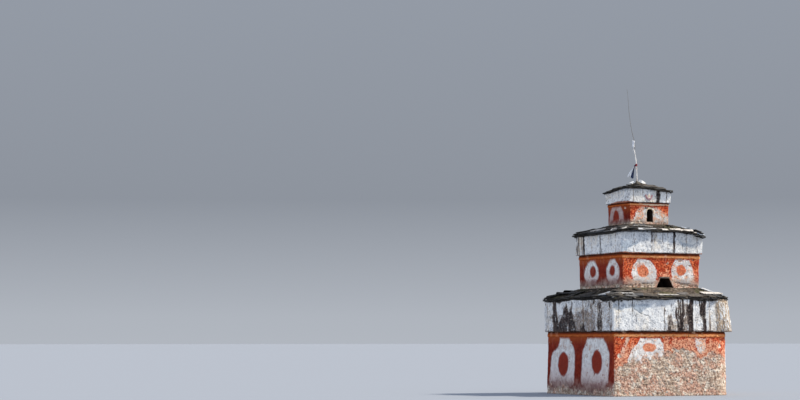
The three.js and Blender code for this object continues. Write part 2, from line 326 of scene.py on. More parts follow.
BASE_FAR = rounded([
    (-1.09, 1.62), (-1.07, 1.46), (-1.17, 1.26), (-1.40, 1.16), (-1.54, 1.07), (-1.60, 0.80), (-1.63, 0.53),
    (-1.66, 0.16), (-0.30, 0.16), (-0.31, 0.60), (-0.28, 0.92), (-0.29, 1.13), (-0.35, 1.27), (-0.53, 1.40),
    (-0.66, 1.62)
])
BASE_NEAR = rounded([
    (0.52, 1.62), (0.37, 1.38), (0.23, 1.23), (0.14, 1.10), (0.11, 0.87), (0.09, 0.60), (0.08, 0.18),
    (1.49, 0.18), (1.53, 0.62), (1.56, 0.88), (1.55, 1.14), (1.44, 1.31), (1.30, 1.42), (1.16, 1.62)
])
BASE_FRONT = rounded([
    (-0.96, 1.62), (-0.47, 1.62), (-0.42, 1.44), (-0.36, 1.36), (-0.33, 1.22), (-0.30, 1.02), (-0.30, 0.70),
    (-0.30, 0.45), (-1.20, 0.45), (-1.36, 0.70), (-1.42, 0.88), (-1.37, 1.03), (-1.30, 1.17), (-1.18, 1.29),
    (-1.06, 1.42)
])
BASE_PATCH = rounded([
    (0.60, 1.62), (0.95, 1.62), (0.93, 1.40), (0.92, 1.10), (0.74, 1.06), (0.62, 1.28), (0.60, 1.45)
])
MIDDLE_FAR = rounded([
    (-0.50, 3.64), (-0.56, 3.55), (-0.72, 3.46), (-0.86, 3.31), (-0.90, 3.15), (-0.78, 3.00), (-0.53, 2.88),
    (-0.26, 2.92), (-0.11, 3.09), (-0.09, 3.27), (-0.17, 3.42), (-0.32, 3.54), (-0.42, 3.64)
])
MIDDLE_NEAR = rounded([
    (0.63, 3.62), (0.55, 3.53), (0.43, 3.46), (0.33, 3.33), (0.31, 3.19), (0.37, 3.04), (0.54, 2.92),
    (0.84, 2.92), (0.98, 3.08), (1.00, 3.25), (0.93, 3.40), (0.80, 3.52), (0.72, 3.62)
])
MIDDLE_FRONT = [
    rounded([
        (-0.62, 3.62), (-0.76, 3.49), (-0.87, 3.34), (-0.91, 3.17), (-0.88, 3.02), (-0.84, 2.82),
        (-0.16, 2.82), (-0.12, 3.00), (-0.13, 3.22), (-0.19, 3.38), (-0.31, 3.51), (-0.42, 3.62)
    ]),
    rounded([
        (0.46, 3.62), (0.36, 3.44), (0.31, 3.26), (0.33, 3.08), (0.36, 2.82), (0.96, 2.82), (1.00, 3.06),
        (0.98, 3.25), (0.91, 3.41), (0.81, 3.62)
    ]),
]
TOP_ARCH = rounded(
    [
        (-0.51, 4.40), (-0.507, 4.62), (-0.495, 4.77), (-0.43, 4.92), (-0.30, 5.03), (0.03, 5.03),
        (0.16, 4.93), (0.225, 4.78), (0.24, 4.58), (0.24, 4.40)
    ],
    1
)
TOP_ARCH_HEART = rounded(
    [
        (-0.35, 4.40), (-0.345, 4.61), (-0.31, 4.79), (-0.20, 4.92), (-0.06, 4.89), (-0.01, 4.77),
        (0.0, 4.60), (0.0, 4.40)
    ],
    1
)
TOP_CREAM = rounded([
    (-0.58, 4.40), (-0.55, 4.56), (-0.46, 4.74), (-0.39, 4.89), (-0.19, 4.98), (0.16, 4.97), (0.36, 4.90),
    (0.45, 4.80), (0.64, 4.69), (0.66, 4.40)
])
# For each tier and side: the white shapes, and the red shapes inside them.
MOTIFS = {
    ("base", LEFT): (
        [BASE_FAR, BASE_NEAR], [egg(-0.90, 0.80, 0.285, 0.325, 0.1), egg(0.92, 0.87, 0.275, 0.31, 0.1)]
    ),
    ("base", FRONT): ([BASE_FRONT, BASE_PATCH], [egg(-0.76, 1.25, 0.195, 0.125)]),
    ("base", RIGHT): (
        [mirrored(BASE_NEAR) + [-0.10, 0], mirrored(BASE_FAR)],
        [egg(-1.0, 0.88, 0.27, 0.30, 0.1), egg(0.92, 0.82, 0.28, 0.32, 0.1)]
    ),
    ("base", BACK): (
        [BASE_FAR + [0.02, -0.02], BASE_NEAR + [-0.05, 0]],
        [egg(-0.90, 0.82, 0.27, 0.31, 0.1), egg(0.86, 0.86, 0.28, 0.30, 0.1)]
    ),
    ("middle", LEFT): (
        [MIDDLE_FAR, MIDDLE_NEAR], [egg(-0.40, 3.26, 0.165, 0.145), egg(0.63, 3.26, 0.140, 0.135)]
    ),
    ("middle", FRONT): (MIDDLE_FRONT, [egg(-0.545, 3.235, 0.172, 0.158), egg(0.61, 3.27, 0.150, 0.152)]),
    ("middle", RIGHT): (
        [mirrored(MIDDLE_NEAR), mirrored(MIDDLE_FAR)],
        [egg(-0.63, 3.26, 0.15, 0.14), egg(0.40, 3.26, 0.15, 0.14)]
    ),
    ("middle", BACK): (
        [MIDDLE_FAR + [-0.05, 0], MIDDLE_NEAR + [-0.03, 0.01]],
        [egg(-0.46, 3.26, 0.15, 0.14), egg(0.60, 3.26, 0.14, 0.135)]
    ),
    ("top", LEFT): ([TOP_ARCH], [TOP_ARCH_HEART]), ("top", FRONT): ([TOP_CREAM], []),
    ("top", RIGHT): ([mirrored(TOP_ARCH)], [mirrored(TOP_ARCH_HEART)]),
    ("top", BACK): ([TOP_ARCH + [0.13, 0]], [TOP_ARCH_HEART + [0.13, 0]]),
}
# Where the paint has come off the rough coat: on each side, the height below which it is gone, along u.
LOST = {
    ("base", FRONT): (
        [-1.80, -1.60, -1.40, -1.12, -0.80, -0.48, -0.25, 0.20, 0.55, 0.62, 0.95, 1.05, 1.40, 1.83],
        [0.70, 0.86, 0.92, 1.00, 1.08, 1.14, 1.20, 1.23, 1.22, 1.08, 1.06, 1.16, 1.05, 0.95]
    ),
    ("base", RIGHT): ([-1.83, -1.0, -0.4, 0.3, 0.9, 1.83], [0.90, 0.62, 0.50, 0.36, 0.42, 0.30]),
    ("base", BACK): ([-1.83, 0, 1.83], [0.26, 0.18, 0.24]),
    ("base", LEFT): ([-1.83, -0.9, 0, 0.9, 1.83], [0.20, 0.16, 0.14, 0.16, 0.24]),
    ("middle", FRONT): (
        [-1.17, -0.9, -0.2, 0.3, 0.45, 1.0, 1.17], [2.87, 2.90, 2.93, 2.98, 2.95, 2.91, 2.88]
    ),
    ("top", FRONT): ([-0.6, -0.2, 0.1, 0.6], [4.56, 4.60, 4.60, 4.55]),
}


def per_side(table, tier, side, default, find):
    """Fills one number a point from what a table says for each side."""
    value = np.full(len(side), float(default))
    for k in range(4):
        entry = table.get((tier["name"], k))
        here = side == k
        if entry is not None and here.any():
            value[here] = find(entry, here)
    return value


def profile(table, tier, side, u, default):
    """What a table of lines along the sides says at each point."""
    return per_side(table, tier, side, default, lambda line, here: np.interp(u[here], *line))


def lost_coat(tier, points, side, u):
    """How far the coat has come off the rubble, with a ragged edge, and how near each point is to that."""
    z, k, low, sunny = points[:, 2], tier["relief"], tier["wall_foot"], weathered(side)
    line = profile(LOST, tier, side, u, low + 0.03)
    near = np.clip((line - z) / (0.42 * k) + 0.5, 0, 1)
    near = np.where(line > low + 0.12 * k, near, smooth(0.05, -0.05, (z - line) / k))
    islands = 0.34 * noise(points, 0.34 * k, 5, 3) + 0.20 * noise(points, 0.085 * k, 6, 2)
    gone = np.clip(0.5 + 3.2 * (near + islands * smooth(0.0, 0.25, near) - 0.56), 0, 1)
    need = 0.95 - 0.22 * sunny
    flaked = smooth(need, need + 0.1, noise(points, 0.16 * k + 0.03, 9, 3))
    return np.maximum(gone, flaked), np.clip(1.15 + (line - z) / (0.75 * k), 0, 1) * sunny


def weathered(side):
    """1 on the sides that face the sun and have faded, 0 on the others."""
    return np.select([side == FRONT, side == RIGHT, side == BACK], [1.0, 0.75, 0.12], 0.0)


# The shade an eave throws on the front, for each metre it stands out: how far down and how far left.
SHADE_DROP, SHADE_DRIFT = 3.24, 2.57


# How far the eaves stand up along each side: more in the middle, and a sag at the front right corner.
EAVES = {
    ("middle", FRONT): (
        [-1.24, -0.70, -0.04, 0.37, 0.65, 0.93, 1.07, 1.30],
        [0.036, 0.040, 0.034, 0.050, 0.034, 0.014, -0.018, -0.085]
    ),
    ("middle", RIGHT): ([-1.30, -1.00, -0.50, 0.60, 1.24], [-0.085, -0.020, 0.0, 0.0, 0.012]),
    ("middle", BACK): ([-1.24, 0.0, 1.24], [0.012, 0.0, 0.006]),
    ("middle", LEFT): ([-1.24, -0.70, 0.70, 1.24], [0.006, 0.0, 0.010, 0.036]),
    ("top", FRONT): (
        [-0.65, -0.37, -0.10, 0.21, 0.38, 0.56, 0.65], [0.058, 0.062, 0.055, 0.020, 0.008, -0.010, -0.024]
    ),
    ("top", RIGHT): ([-0.65, -0.20, 0.65], [-0.024, 0.0, 0.012]),
    ("top", BACK): ([-0.65, 0.0, 0.65], [0.012, 0.0, -0.005]),
    ("top", LEFT): ([-0.65, -0.45, -0.23, 0.0, 0.36, 0.65], [-0.005, 0.0, 0.020, 0.045, 0.066, 0.058]),
}


def corner_share(points):
    """Which corner each point is nearest, and how near: 0 at the middle of a side, 1 at the corner."""
    x, y = points[:, 0], points[:, 1]
    corner = np.select([(x > 0) & (y <= 0), (x > 0) & (y > 0), (x <= 0) & (y > 0)], [0, 1, 2], 3)
    return corner, np.minimum(abs(x), abs(y)) / np.maximum(np.maximum(abs(x), abs(y)), 1e-9)


def hip_lift(tier, points):
    """How far the eaves stand up over their level line, at each point."""
    side, u = face_place(points)
    return profile(EAVES, tier, side, u, 0.0)


# The usual length and height of a stone in the rubble.
STONE_LONG, STONE_HIGH = 0.115, 0.075


def rubble(points, side, u):
    """The stones of a rubble wall: 1 on a stone, 0 in the joints, and each stone's own number, -1 to 1."""
    apart, crooked = 4.1, 0.22
    across = (u + apart * side) / STONE_LONG + crooked * noise(points, 0.12, 411, 2)
    up = points[:, 2] / STONE_HIGH + crooked * noise(points, 0.12, 415, 2)
    row = np.floor(up)
    nearest, second, own = (np.full(len(u), 9.0) for _ in range(3))
    for dz in (-1, 0, 1):
        level = row + dz
        shift = 0.5 * (level % 2)
        for dx in (-1, 0, 1):
            cell = np.floor(across - shift) + dx
            key = np.column_stack([cell, level, np.zeros(len(u))]).astype(np.int64).astype(np.uint64)
            d = np.hypot(
                across - (cell + shift + 0.5 + 0.36 * scatter(key, 401)),
                up - (level + 0.5 + 0.28 * scatter(key, 402))
            )
            closer = d < nearest
            second = np.where(closer, nearest, np.minimum(second, d))
            own = np.where(closer, scatter(key, 403), own)
            nearest = np.where(closer, d, nearest)
    return smooth(0.03, 0.30, second - nearest), own


# Openings in the front of the middle and top walls: u of the middle, height of the sill over the foot of
# the wall, widths, height, rise of the arch and depth.
NICHES = {
    "middle": dict(u=0.112, sill=-0.048, foot_wide=0.550, head_wide=0.270, high=0.254, rise=0.0, deep=0.480),
    "top": dict(u=0.016, sill=0.060, foot_wide=0.196, head_wide=0.196, high=0.340, rise=0.069, deep=0.330),
}


def niche_outline(tier):
    """The opening of a niche in the front wall, as points of (u, height)."""
    n = NICHES[tier["name"]]
    z = tier["wall_foot"] + n["sill"]
    spring = z + n["high"] - n["rise"]
    shape = [(n["u"] - n["foot_wide"] / 2, z), (n["u"] + n["foot_wide"] / 2, z)]
    for t in np.linspace(0, math.pi, 9 if n["rise"] else 2):
        shape.append((n["u"] + n["head_wide"] / 2 * math.cos(t), spring + n["rise"] * math.sin(t)))
    return np.array(shape)


def cut_niche(wall, tier):
    """Cuts the opening out of the wall, with uneven jambs."""
    shape, piece_long, stands_out, rings = niche_outline(tier), 0.035, 0.10, 14
    ring = []
    for a, b in zip(shape, np.roll(shape, -1, axis=0)):
        count = max(1, round(np.hypot(*(b - a)) / piece_long))
        ring += [between(a, b, t) for t in np.arange(count) / count]
    ring = np.array(ring)
    depths = np.linspace(-stands_out, NICHES[tier["name"]]["deep"], rings)
    points = np.array([[(u, -tier["wall_half"] + d, z) for u, z in ring] for d in depths])
    flat = points.reshape(-1, 3)
    middle = ring.mean(0)
    away = np.column_stack([flat[:, 0] - middle[0], np.zeros(len(flat)), flat[:, 2] - middle[1]])
    away /= np.linalg.norm(away, axis=1)[:, None]
    flat = flat + away * (0.008 * noise(flat, 0.09, 71, 2))[:, None] * np.array([1, 1, 0.5])
    across = len(ring)
    j = np.arange(across)
    last = (len(depths) - 1) * across
    form = Form()
    form.add(flat, [ring_faces(len(depths), across)[:, ::-1], [j.tolist()], [(last + j[::-1]).tolist()]])
    cutter = form.build("niche_cutter")
    bpy.context.view_layer.update()
    tool = wall.modifiers.new("niche", "BOOLEAN")
    tool.operation, tool.solver, tool.object = "DIFFERENCE", "EXACT", cutter
    cut = bpy.data.meshes.new_from_object(wall.evaluated_get(bpy.context.evaluated_depsgraph_get()))
    wall.modifiers.clear()
    wall.data = cut
    bpy.data.objects.remove(cutter)


def near_niche(tier, points):
    """1 beside the opening, falling to 0 a little way off, so that the wall runs true into its jambs."""
    if tier["name"] not in NICHES:
        return np.zeros(len(points))
    d = inside(points[:, 0], points[:, 2], niche_outline(tier))
    return smooth(-0.16, -0.03, d) * (points[:, 1] < -tier["wall_half"] * 0.9)


def rough(points, amount, seed):
    """Uneven masonry under a hand-laid coat: stones, trowel marks and grit."""
    stones = 0.011 * noise(points, 0.95, seed, 2)
    trowel = 0.0055 * noise(points, (0.26, 0.26, 0.17), seed + 11, 2)
    return amount * (stones + trowel + 0.0028 * noise(points, 0.075, seed + 23, 2))


def build_wall(tier):
    """A red wall, with bare rubble where its coat is lost. It runs a little into the roof below and the
    course above."""
    low = tier["wall_foot"] - (0.0 if tier["name"] == "base" else 0.05)
    high, step, relief = tier["wall_head"] + 0.02, tier["wall_step"], tier["relief"]
    levels = np.linspace(low, high, round((high - low) / step) + 1)
    slope = np.interp(levels, [tier["wall_foot"], tier["wall_head"]], [tier["foot_half"], tier["wall_half"]])
    points, outs = stack(
        [(z, h, tier["wall_radii"]) for z, h in zip(levels, slope)], step, tier["wall_radii"]
    )
    shape = points.shape
    flat, away = points.reshape(-1, 3), outs.reshape(-1, 2)
    side, u = face_place(flat)
    lost = lost_coat(tier, flat, side, u)[0]
    sunny = weathered(side)
    grit = 0.005 * noise(flat, 0.055, 41, 3) + 0.004 * np.abs(noise(flat, 0.030, 44))
    stones, tone = rubble(flat, side, u)
    push = rough(flat, relief * (0.75 + 0.45 * sunny), 3)
    push += relief * sunny * 0.0035 * noise(flat, 0.045, 47, 2)
    coat, stone_out = 0.019, 0.011 + 0.005 * tone
    push += lost * relief * (-coat + stones * stone_out + grit)
    push += tier["head_out"] * smooth(tier["wall_head"] - 0.30 * relief, tier["wall_head"], flat[:, 2])
    push *= 1 - 0.8 * near_niche(tier, flat)
    if tier["name"] == "top":
        push += 0.012 * hood(flat[:, 0], flat[:, 2]) * (side == FRONT)
    push[:shape[1]] *= 0.5
    flat = flat.copy()
    flat[:, :2] += away * push[:, None]
    form = Form()
    add_stack(form, flat.reshape(shape))
    wall = form.build(f"{tier['name']}_wall_plaster")
    if tier["name"] in NICHES:
        cut_niche(wall, tier)
    paint_wall(wall, tier)
    return settle(wall, "red_plaster", MATERIALS["red"], f"{tier['name']}_wall")


# The one wide pale run at the near corner of the base: its line, as heights and the u at each.
WIDE_RUN = ([1.06, 1.25, 1.43, 1.60], [-1.59, -1.52, -1.42, -1.36])


def hood(u, z):
    """The low moulding round the head of the top niche."""
    middle_u, middle_z, radius, narrow = 0.016, 4.80, 0.142, 0.86
    off = np.abs(np.hypot((u - middle_u) / narrow, z - middle_z) - radius)
    return smooth(0.024, 0.010, off) * smooth(middle_z - 0.04, middle_z, z)


def paint_wall(wall, tier):
    """Works out what the red plaster asks at each point of a wall."""
    points = read_points(wall)
    side, u = face_place(points)
    z, relief, low, head_here = points[:, 2], tier["relief"], tier["wall_foot"], tier["wall_head"]
    wobble = (0.012 * noise(points, 0.13, 51, 2)) * (0.6 + relief * 0.4)

    def deepest(shapes, here):
        depths = [inside(u[here], z[here], shape) for shape in shapes]
        return np.max(depths, axis=0) if depths else np.full(here.sum(), -1.0)

    white, heart = (
        per_side(MOTIFS, tier, side, -1, lambda motifs, here: deepest(motifs[kind], here)) + wobble
        for kind in range(2)
    )
    white = np.minimum(white, head_here - 0.045 * relief - z + wobble)
    # Near black inside the niche, from just behind its mouth to its back.
    niche_darkening = np.zeros(len(points))
    if tier["name"] in NICHES:
        depth = points[:, 1] + tier["wall_half"]
        hole = inside(points[:, 0], z, niche_outline(tier)) > -0.025
        niche_darkening = smooth(0.004, 0.03, depth) * hole * (depth < NICHES[tier["name"]]["deep"] + 0.05)
    drips = np.zeros(len(points))
    if tier["name"] == "base":
        off = np.abs(u - np.interp(z, *WIDE_RUN) + 0.02 * noise(points, 0.2, 81, 2))
        drips = smooth(0.075, 0.035, off) * (side == FRONT) * smooth(0.95, 1.15, z)
    speckled = {
        "base": 0.9 * smooth(0.40, 0.55, u), "middle": 0.25 + 0.65 * smooth(3.24, 2.98, z),
        "top": np.ones(len(z)),
    }[tier["name"]]
    lost, near = lost_coat(tier, points, side, u)
    stones, tone = rubble(points, side, u)
    write_fields(wall, dict(
        white=np.clip(white, -0.3, 0.3), heart=np.clip(heart, -0.3, 0.3), lost=lost, near=near, drips=drips,
        stones=stones, tone=tone, sunny=weathered(side), up=np.clip((z - low) / (head_here - low), 0, 1.2),
        drop=head_here - z, niche_darkening=niche_darkening, hood=hood(u, z) * (side == FRONT) * (tier["name"] == "top"),
        faint=(side != FRONT) * tier["faint"], mottled=(side == FRONT) * speckled,
    ))


def build_course(tier):
    """The ochre string course: a band that stands out under the frieze, with a worn lower edge."""
    half, radii, out = tier["wall_half"], tier["wall_radii"], tier["course_out"]
    low, high = tier["wall_head"], tier["course_head"]
    face = np.linspace(low + 0.014, high + 0.02, max(4, round((high - low) / 0.016)))
    rows = [
        (low + 0.004, half - 0.03), (low, half - 0.004), (low + 0.001, half + out * 0.5),
        (low + 0.006, half + out * 0.85)
    ]
    swell = [low + 0.014, between(low, high, 0.40), high], [out, out, out * 0.5]
    rows += [(z, half + np.interp(z, *swell)) for z in face]
    wide = tuple(r + 0.02 for r in radii)
    points, outs = stack([(z, h, wide) for z, h in rows], tier["wall_step"], wide)
    shape = points.shape
    flat, away = points.reshape(-1, 3).copy(), outs.reshape(-1, 2)
    push = rough(flat, tier["relief"] * 0.8, 3) + 0.003 * noise(flat, (0.06, 0.06, 0.03), 88, 2)
    low_edge = smooth(low + 0.06, low, flat[:, 2])
    flat[:, :2] += away * push[:, None]
    flat[:, 2] += low_edge * (0.012 * noise(flat, (0.20, 0.20, 9), 61, 3) - 0.006)
    form = Form()
    add_stack(form, flat.reshape(shape))
    course = form.build(f"{tier['name']}_course_plaster")
    points = read_points(course)
    side, u = face_place(points)
    ledge = smooth(-0.26, -0.16, u) * smooth(0.64, 0.54, u) * (side == FRONT) * (tier["name"] == "top")
    write_fields(course, dict(sunny=weathered(side), cream=ledge, up=(points[:, 2] - low) / (high - low)))
    return settle(course, "ochre_plaster", MATERIALS["ochre"], f"{tier['name']}_string_course")


# Rain streaks on the friezes: u, half width and strength, each at the head and then at the foot, and the
# brown share.
STREAKS = {
    ("base", FRONT): [
        (-0.34, -0.33, 0.008, 0.022, 0.0, 0.8, 0.5), (-1.70, -1.70, 0.014, 0.012, 0.8, 0.5, 0.4),
        (1.02, 1.05, 0.012, 0.025, 0.3, 0.5, 0.8), (0.60, 0.62, 0.010, 0.014, 0.5, 0.3, 0.5),
        (-1.30, -1.29, 0.014, 0.006, 1.1, 0.0, 0.2),
    ],
    ("base", LEFT): [
        (0.62, 0.56, 0.012, 0.018, 0.8, 0.3, 0.7), (0.30, 0.32, 0.010, 0.040, 0.0, 0.6, 0.8),
        (-1.66, -1.65, 0.014, 0.02, 0.2, 0.3, 0.6), (1.42, 1.44, 0.012, 0.016, 0.5, 0.3, 0.5),
        (0.52, 0.55, 0.010, 0.020, 0.2, 0.6, 0.5),
    ],
    ("base", RIGHT): [
        (-1.10, -1.06, 0.03, 0.05, 0.8, 0.8, 0.6), (-0.55, -0.50, 0.05, 0.08, 0.9, 0.8, 0.5),
        (-0.66, -0.60, 0.02, 0.03, 0.9, 1.0, 0.5), (0.12, 0.15, 0.02, 0.04, 0.7, 0.6, 0.5),
        (0.70, 0.76, 0.05, 0.07, 0.9, 0.9, 0.5), (0.86, 0.90, 0.015, 0.03, 0.5, 0.9, 0.6),
        (1.35, 1.38, 0.03, 0.05, 0.8, 0.6, 0.5),
    ],
    ("base", BACK): [
        (-1.30, -1.24, 0.03, 0.08, 0.6, 0.9, 0.6), (-0.60, -0.55, 0.05, 0.07, 0.9, 0.8, 0.5),
        (-0.46, -0.42, 0.02, 0.04, 0.3, 0.9, 0.6), (0.05, 0.10, 0.03, 0.05, 0.8, 0.6, 0.5),
        (0.55, 0.62, 0.02, 0.07, 0.5, 0.9, 0.6), (1.15, 1.20, 0.05, 0.07, 0.9, 0.7, 0.6),
    ],
    ("middle", FRONT): [
        (0.365, 0.372, 0.036, 0.036, 1.1, 1.05, 0.15), (-0.27, -0.25, 0.070, 0.050, 0.42, 0.05, 0.5),
        (-0.33, -0.32, 0.012, 0.010, 0.8, 0.2, 0.4), (0.735, 0.75, 0.014, 0.012, 0.7, 0.0, 0.6),
        (-0.85, -0.86, 0.010, 0.012, 0.5, 0.1, 0.6), (1.05, 1.07, 0.012, 0.016, 0.35, 0.25, 0.6),
        (0.16, 0.17, 0.010, 0.012, 0.5, 0.1, 0.6), (0.02, 0.02, 0.01, 0.010, 0.4, 0.1, 0.6),
    ],
    ("middle", LEFT): [
        (-1.16, -1.12, 0.024, 0.024, 0.75, 0.8, 0.5), (-1.05, -1.03, 0.022, 0.040, 0.7, 0.2, 0.7),
        (-0.76, -0.74, 0.052, 0.056, 1.05, 1.1, 0.3), (-0.88, -0.86, 0.014, 0.020, 0.9, 0.3, 0.9),
        (0.122, 0.118, 0.030, 0.026, 1.15, 0.95, 0.0), (0.17, 0.20, 0.006, 0.016, 0.0, 0.8, 0.3),
        (0.55, 0.56, 0.010, 0.014, 0.3, 0.2, 0.6), (-0.35, -0.33, 0.010, 0.016, 0.3, 0.2, 0.6),
        (0.92, 0.93, 0.012, 0.014, 0.3, 0.3, 0.6),
    ],
    ("middle", RIGHT): [
        (-0.70, -0.68, 0.03, 0.04, 0.9, 0.8, 0.3), (0.15, 0.18, 0.04, 0.05, 0.7, 0.4, 0.8),
        (0.85, 0.86, 0.02, 0.03, 0.8, 0.7, 0.3)
    ],
    ("middle", BACK): [
        (-0.90, -0.86, 0.03, 0.05, 0.9, 0.8, 0.4), (-0.10, -0.08, 0.02, 0.03, 0.9, 0.9, 0.2),
        (0.62, 0.64, 0.04, 0.05, 0.7, 0.5, 0.7)
    ],
    ("top", FRONT): [
        (0.250, 0.252, 0.060, 0.050, 1.15, 1.1, 0.3), (-0.52, -0.51, 0.010, 0.012, 0.3, 0.2, 0.8),
        (0.5, 0.5, 0.012, 0.01, 0.9, 0.2, 0.8), (-0.22, -0.22, 0.006, 0.007, 0.5, 0.5, 0.6),
    ],
    ("top", LEFT): [
        (-0.60, -0.59, 0.014, 0.018, 0.30, 0.15, 0.5), (-0.46, -0.45, 0.014, 0.014, 0.25, 0.20, 0.5),
        (-0.36, -0.35, 0.012, 0.014, 0.35, 0.25, 0.5), (-0.27, -0.26, 0.010, 0.012, 0.30, 0.25, 0.5),
        (0.10, 0.11, 0.010, 0.012, 0.20, 0.1, 0.4),
    ],
    ("top", RIGHT): [(-0.2, -0.19, 0.03, 0.03, 0.8, 0.7, 0.4), (0.35, 0.36, 0.015, 0.02, 0.6, 0.6, 0.8)],
    ("top", BACK): [(-0.3, -0.28, 0.02, 0.03, 0.8, 0.7, 0.4), (0.2, 0.2, 0.02, 0.02, 0.6, 0.6, 0.8)],
}
# Wide dirty stretches: first u, last u, lowest, highest, strength.
GRIME = {
    ("base", LEFT): [
        (-1.36, -0.10, 1.6, 2.10, 0.7), (-0.13, 0.90, 1.6, 2.20, 0.85), (0.40, 1.05, 1.6, 2.46, 0.5),
        (1.05, 1.87, 1.6, 2.6, 0.50), (-0.10, 0.40, 2.1, 2.35, 0.4), (-1.87, -1.4, 1.6, 2.5, 0.3)
    ],
    ("base", FRONT): [
        (-0.25, 0.02, 1.6, 1.92, 0.6), (0.26, 0.40, 1.6, 2.4, 0.8), (0.30, 0.50, 1.6, 2.6, 0.3),
        (1.20, 1.40, 1.6, 1.95, 0.6), (-1.2, 1.3, 1.6, 1.75, 0.35), (-1.3, -0.2, 1.7, 2.3, 0.18),
        (0.9, 1.3, 1.7, 2.4, 0.25)
    ],
    ("base", RIGHT): [(-2.0, -1.2, 1.6, 2.6, 0.5), (-0.7, 0.9, 1.6, 2.2, 0.5)],
    ("base", BACK): [(-1.4, -0.3, 1.6, 2.3, 0.7), (0.3, 1.3, 1.6, 2.2, 0.5)],
    ("middle", LEFT): [(-1.24, -0.72, 3.7, 4.3, 0.28), (-0.5, 1.2, 3.7, 3.85, 0.25)],
    ("middle", FRONT): [(-0.34, -0.20, 3.9, 4.3, 0.3)], ("top", LEFT): [(-0.66, -0.22, 5.0, 5.5, 0.2)],
    ("middle", BACK): [(-1.0, 0.2, 3.7, 4.1, 0.5)],
}


# Cream and rusty patches in the whitewash, in the same terms.
CREAM = {
    ("base", FRONT): [
        (-1.775, -1.68, 1.74, 2.36, 0.8), (-0.16, 0.02, 1.68, 1.98, 0.8), (0.28, 0.38, 1.7, 2.36, 0.9),
        (1.0, 1.30, 1.7, 2.2, 0.35), (-1.20, -0.80, 1.7, 2.0, 0.25)
    ],
    ("base", LEFT): [
        (-1.75, -1.55, 1.7, 2.2, 0.4), (-1.22, -1.12, 1.7, 2.2, 0.8), (-0.2, 0.9, 1.75, 2.3, 0.45),
        (1.1, 1.2, 1.6, 2.5, 0.5)
    ],
    ("base", RIGHT): [(-1.4, -0.8, 1.7, 2.4, 0.5), (0.3, 0.8, 1.7, 2.1, 0.6)],
    ("base", BACK): [(-0.5, 0.4, 1.7, 2.3, 0.5)],
    ("middle", LEFT): [(-1.18, -0.80, 3.80, 4.24, 0.8), (-0.6, 0.0, 3.95, 4.24, 0.35)],
    ("middle", FRONT): [
        (-0.25, -0.05, 3.80, 4.05, 0.5), (0.62, 1.2, 3.80, 4.2, 0.12), (-0.25, -0.18, 4.0, 4.2, 0.8)
    ],
    ("top", LEFT): [(-0.55, 0.4, 5.22, 5.40, 0.35)],
    ("top", FRONT): [(-0.22, 0.20, 5.08, 5.16, 0.7), (0.10, 0.22, 5.1, 5.4, 0.4)],
}


def build_frieze(tier):
    """The whitewashed frieze: it stands out over the course, leans back a little and is worn at its edges."""
    low, high = tier["course_head"], tier["frieze_head"]
    inner, outer, batter = tier["wall_half"], tier["frieze_half"], tier["batter"]
    low_radii, high_radii = tier["frieze_radii"], tier["head_radii"]
    step = tier["frieze_step"]
    under = [(low + 0.006, inner - 0.03, tier["wall_radii"])]
    for t in (0.25, 0.6, 0.9):
        half = between(inner, outer - batter, t)
        under.append((low + 0.002, half - 0.004, low_radii))
    rows = under + [
        (low + 0.001, outer - batter - 0.010, low_radii), (low + 0.008, outer - batter - 0.002, low_radii)
    ]
    for t in np.linspace(0, 1, round((high - low - 0.016) / (step * 1.15)) + 1):
        radii = radii_between(low_radii, high_radii, min(1.0, t * 1.02))
        rows.append((low + 0.016 + t * (high - low - 0.016), outer - batter * (1 - t), radii))
    points, outs = stack(rows, step, widest(low_radii, high_radii))
    shape = points.shape
    flat, away = points.reshape(-1, 3).copy(), outs.reshape(-1, 2)
    side, u = face_place(flat)
    k = tier["relief"]
    push = rough(flat, 0.9 * k, 13) + k * 0.0035 * noise(flat, 0.05, 17, 2)
    worn = worn_corner(tier, flat)
    gullies = noise(flat, (0.045, 0.045, 0.8), 33, 2)
    push += worn * (0.014 * gullies - 0.006 + 0.007 * noise(flat, 0.05, 37, 2))
    crack = line_marks(CRACKS, tier, side, u, flat, 0.024)
    push -= 0.006 * k * crack
    gone = smooth(1.15, 0.85, (high - flat[:, 2]) / head_gap(tier, side, u, flat))
    push -= gone * k * (0.012 + 0.008 * noise(flat, 0.04, 19, 2))
    if tier["name"] == "top":
        bow, knob = crescent(flat[:, 0], flat[:, 2])
        push += (0.016 * bow + 0.020 * knob) * (side == FRONT)
    flat[:, :2] += away * push[:, None]
    edge = smooth(low + 0.14, low, flat[:, 2])
    flat[:, 2] += edge * k * (
        0.014 * noise(flat, (0.5, 0.5, 9), 91, 2) + 0.012 * noise(flat, (0.10, 0.10, 9), 93, 2) - 0.006
    )
    flat[:, 2] += hip_lift(tier, flat) * smooth(low, high, flat[:, 2])
    form = Form()
    add_stack(form, flat.reshape(shape))
    frieze = form.build(f"{tier['name']}_frieze_plaster")
    paint_frieze(frieze, tier)
    return settle(frieze, "whitewash", MATERIALS["white"], f"{tier['name']}_frieze")


# How high the red paint below runs up on to the foot of a frieze, along each side.
FRIEZE_FOOT = {
    ("top", FRONT): (
        [-0.65, -0.51, -0.37, -0.20, 0.04, 0.24, 0.65], [0.030, 0.012, 0.0, -0.02, 0.0, -0.01, -0.02]
    ),
    ("top", LEFT): ([-0.65, -0.47, -0.23, 0.07, 0.36, 0.65], [0.0, 0.0, 0.035, 0.052, 0.045, 0.030]),
    ("middle", LEFT): ([-1.24, 0.30, 0.80, 1.24], [0.0, 0.0, 0.012, 0.022]),
    ("middle", FRONT): ([-1.24, -0.90, -0.40, 1.24], [0.022, 0.012, 0.0, 0.0]),
}


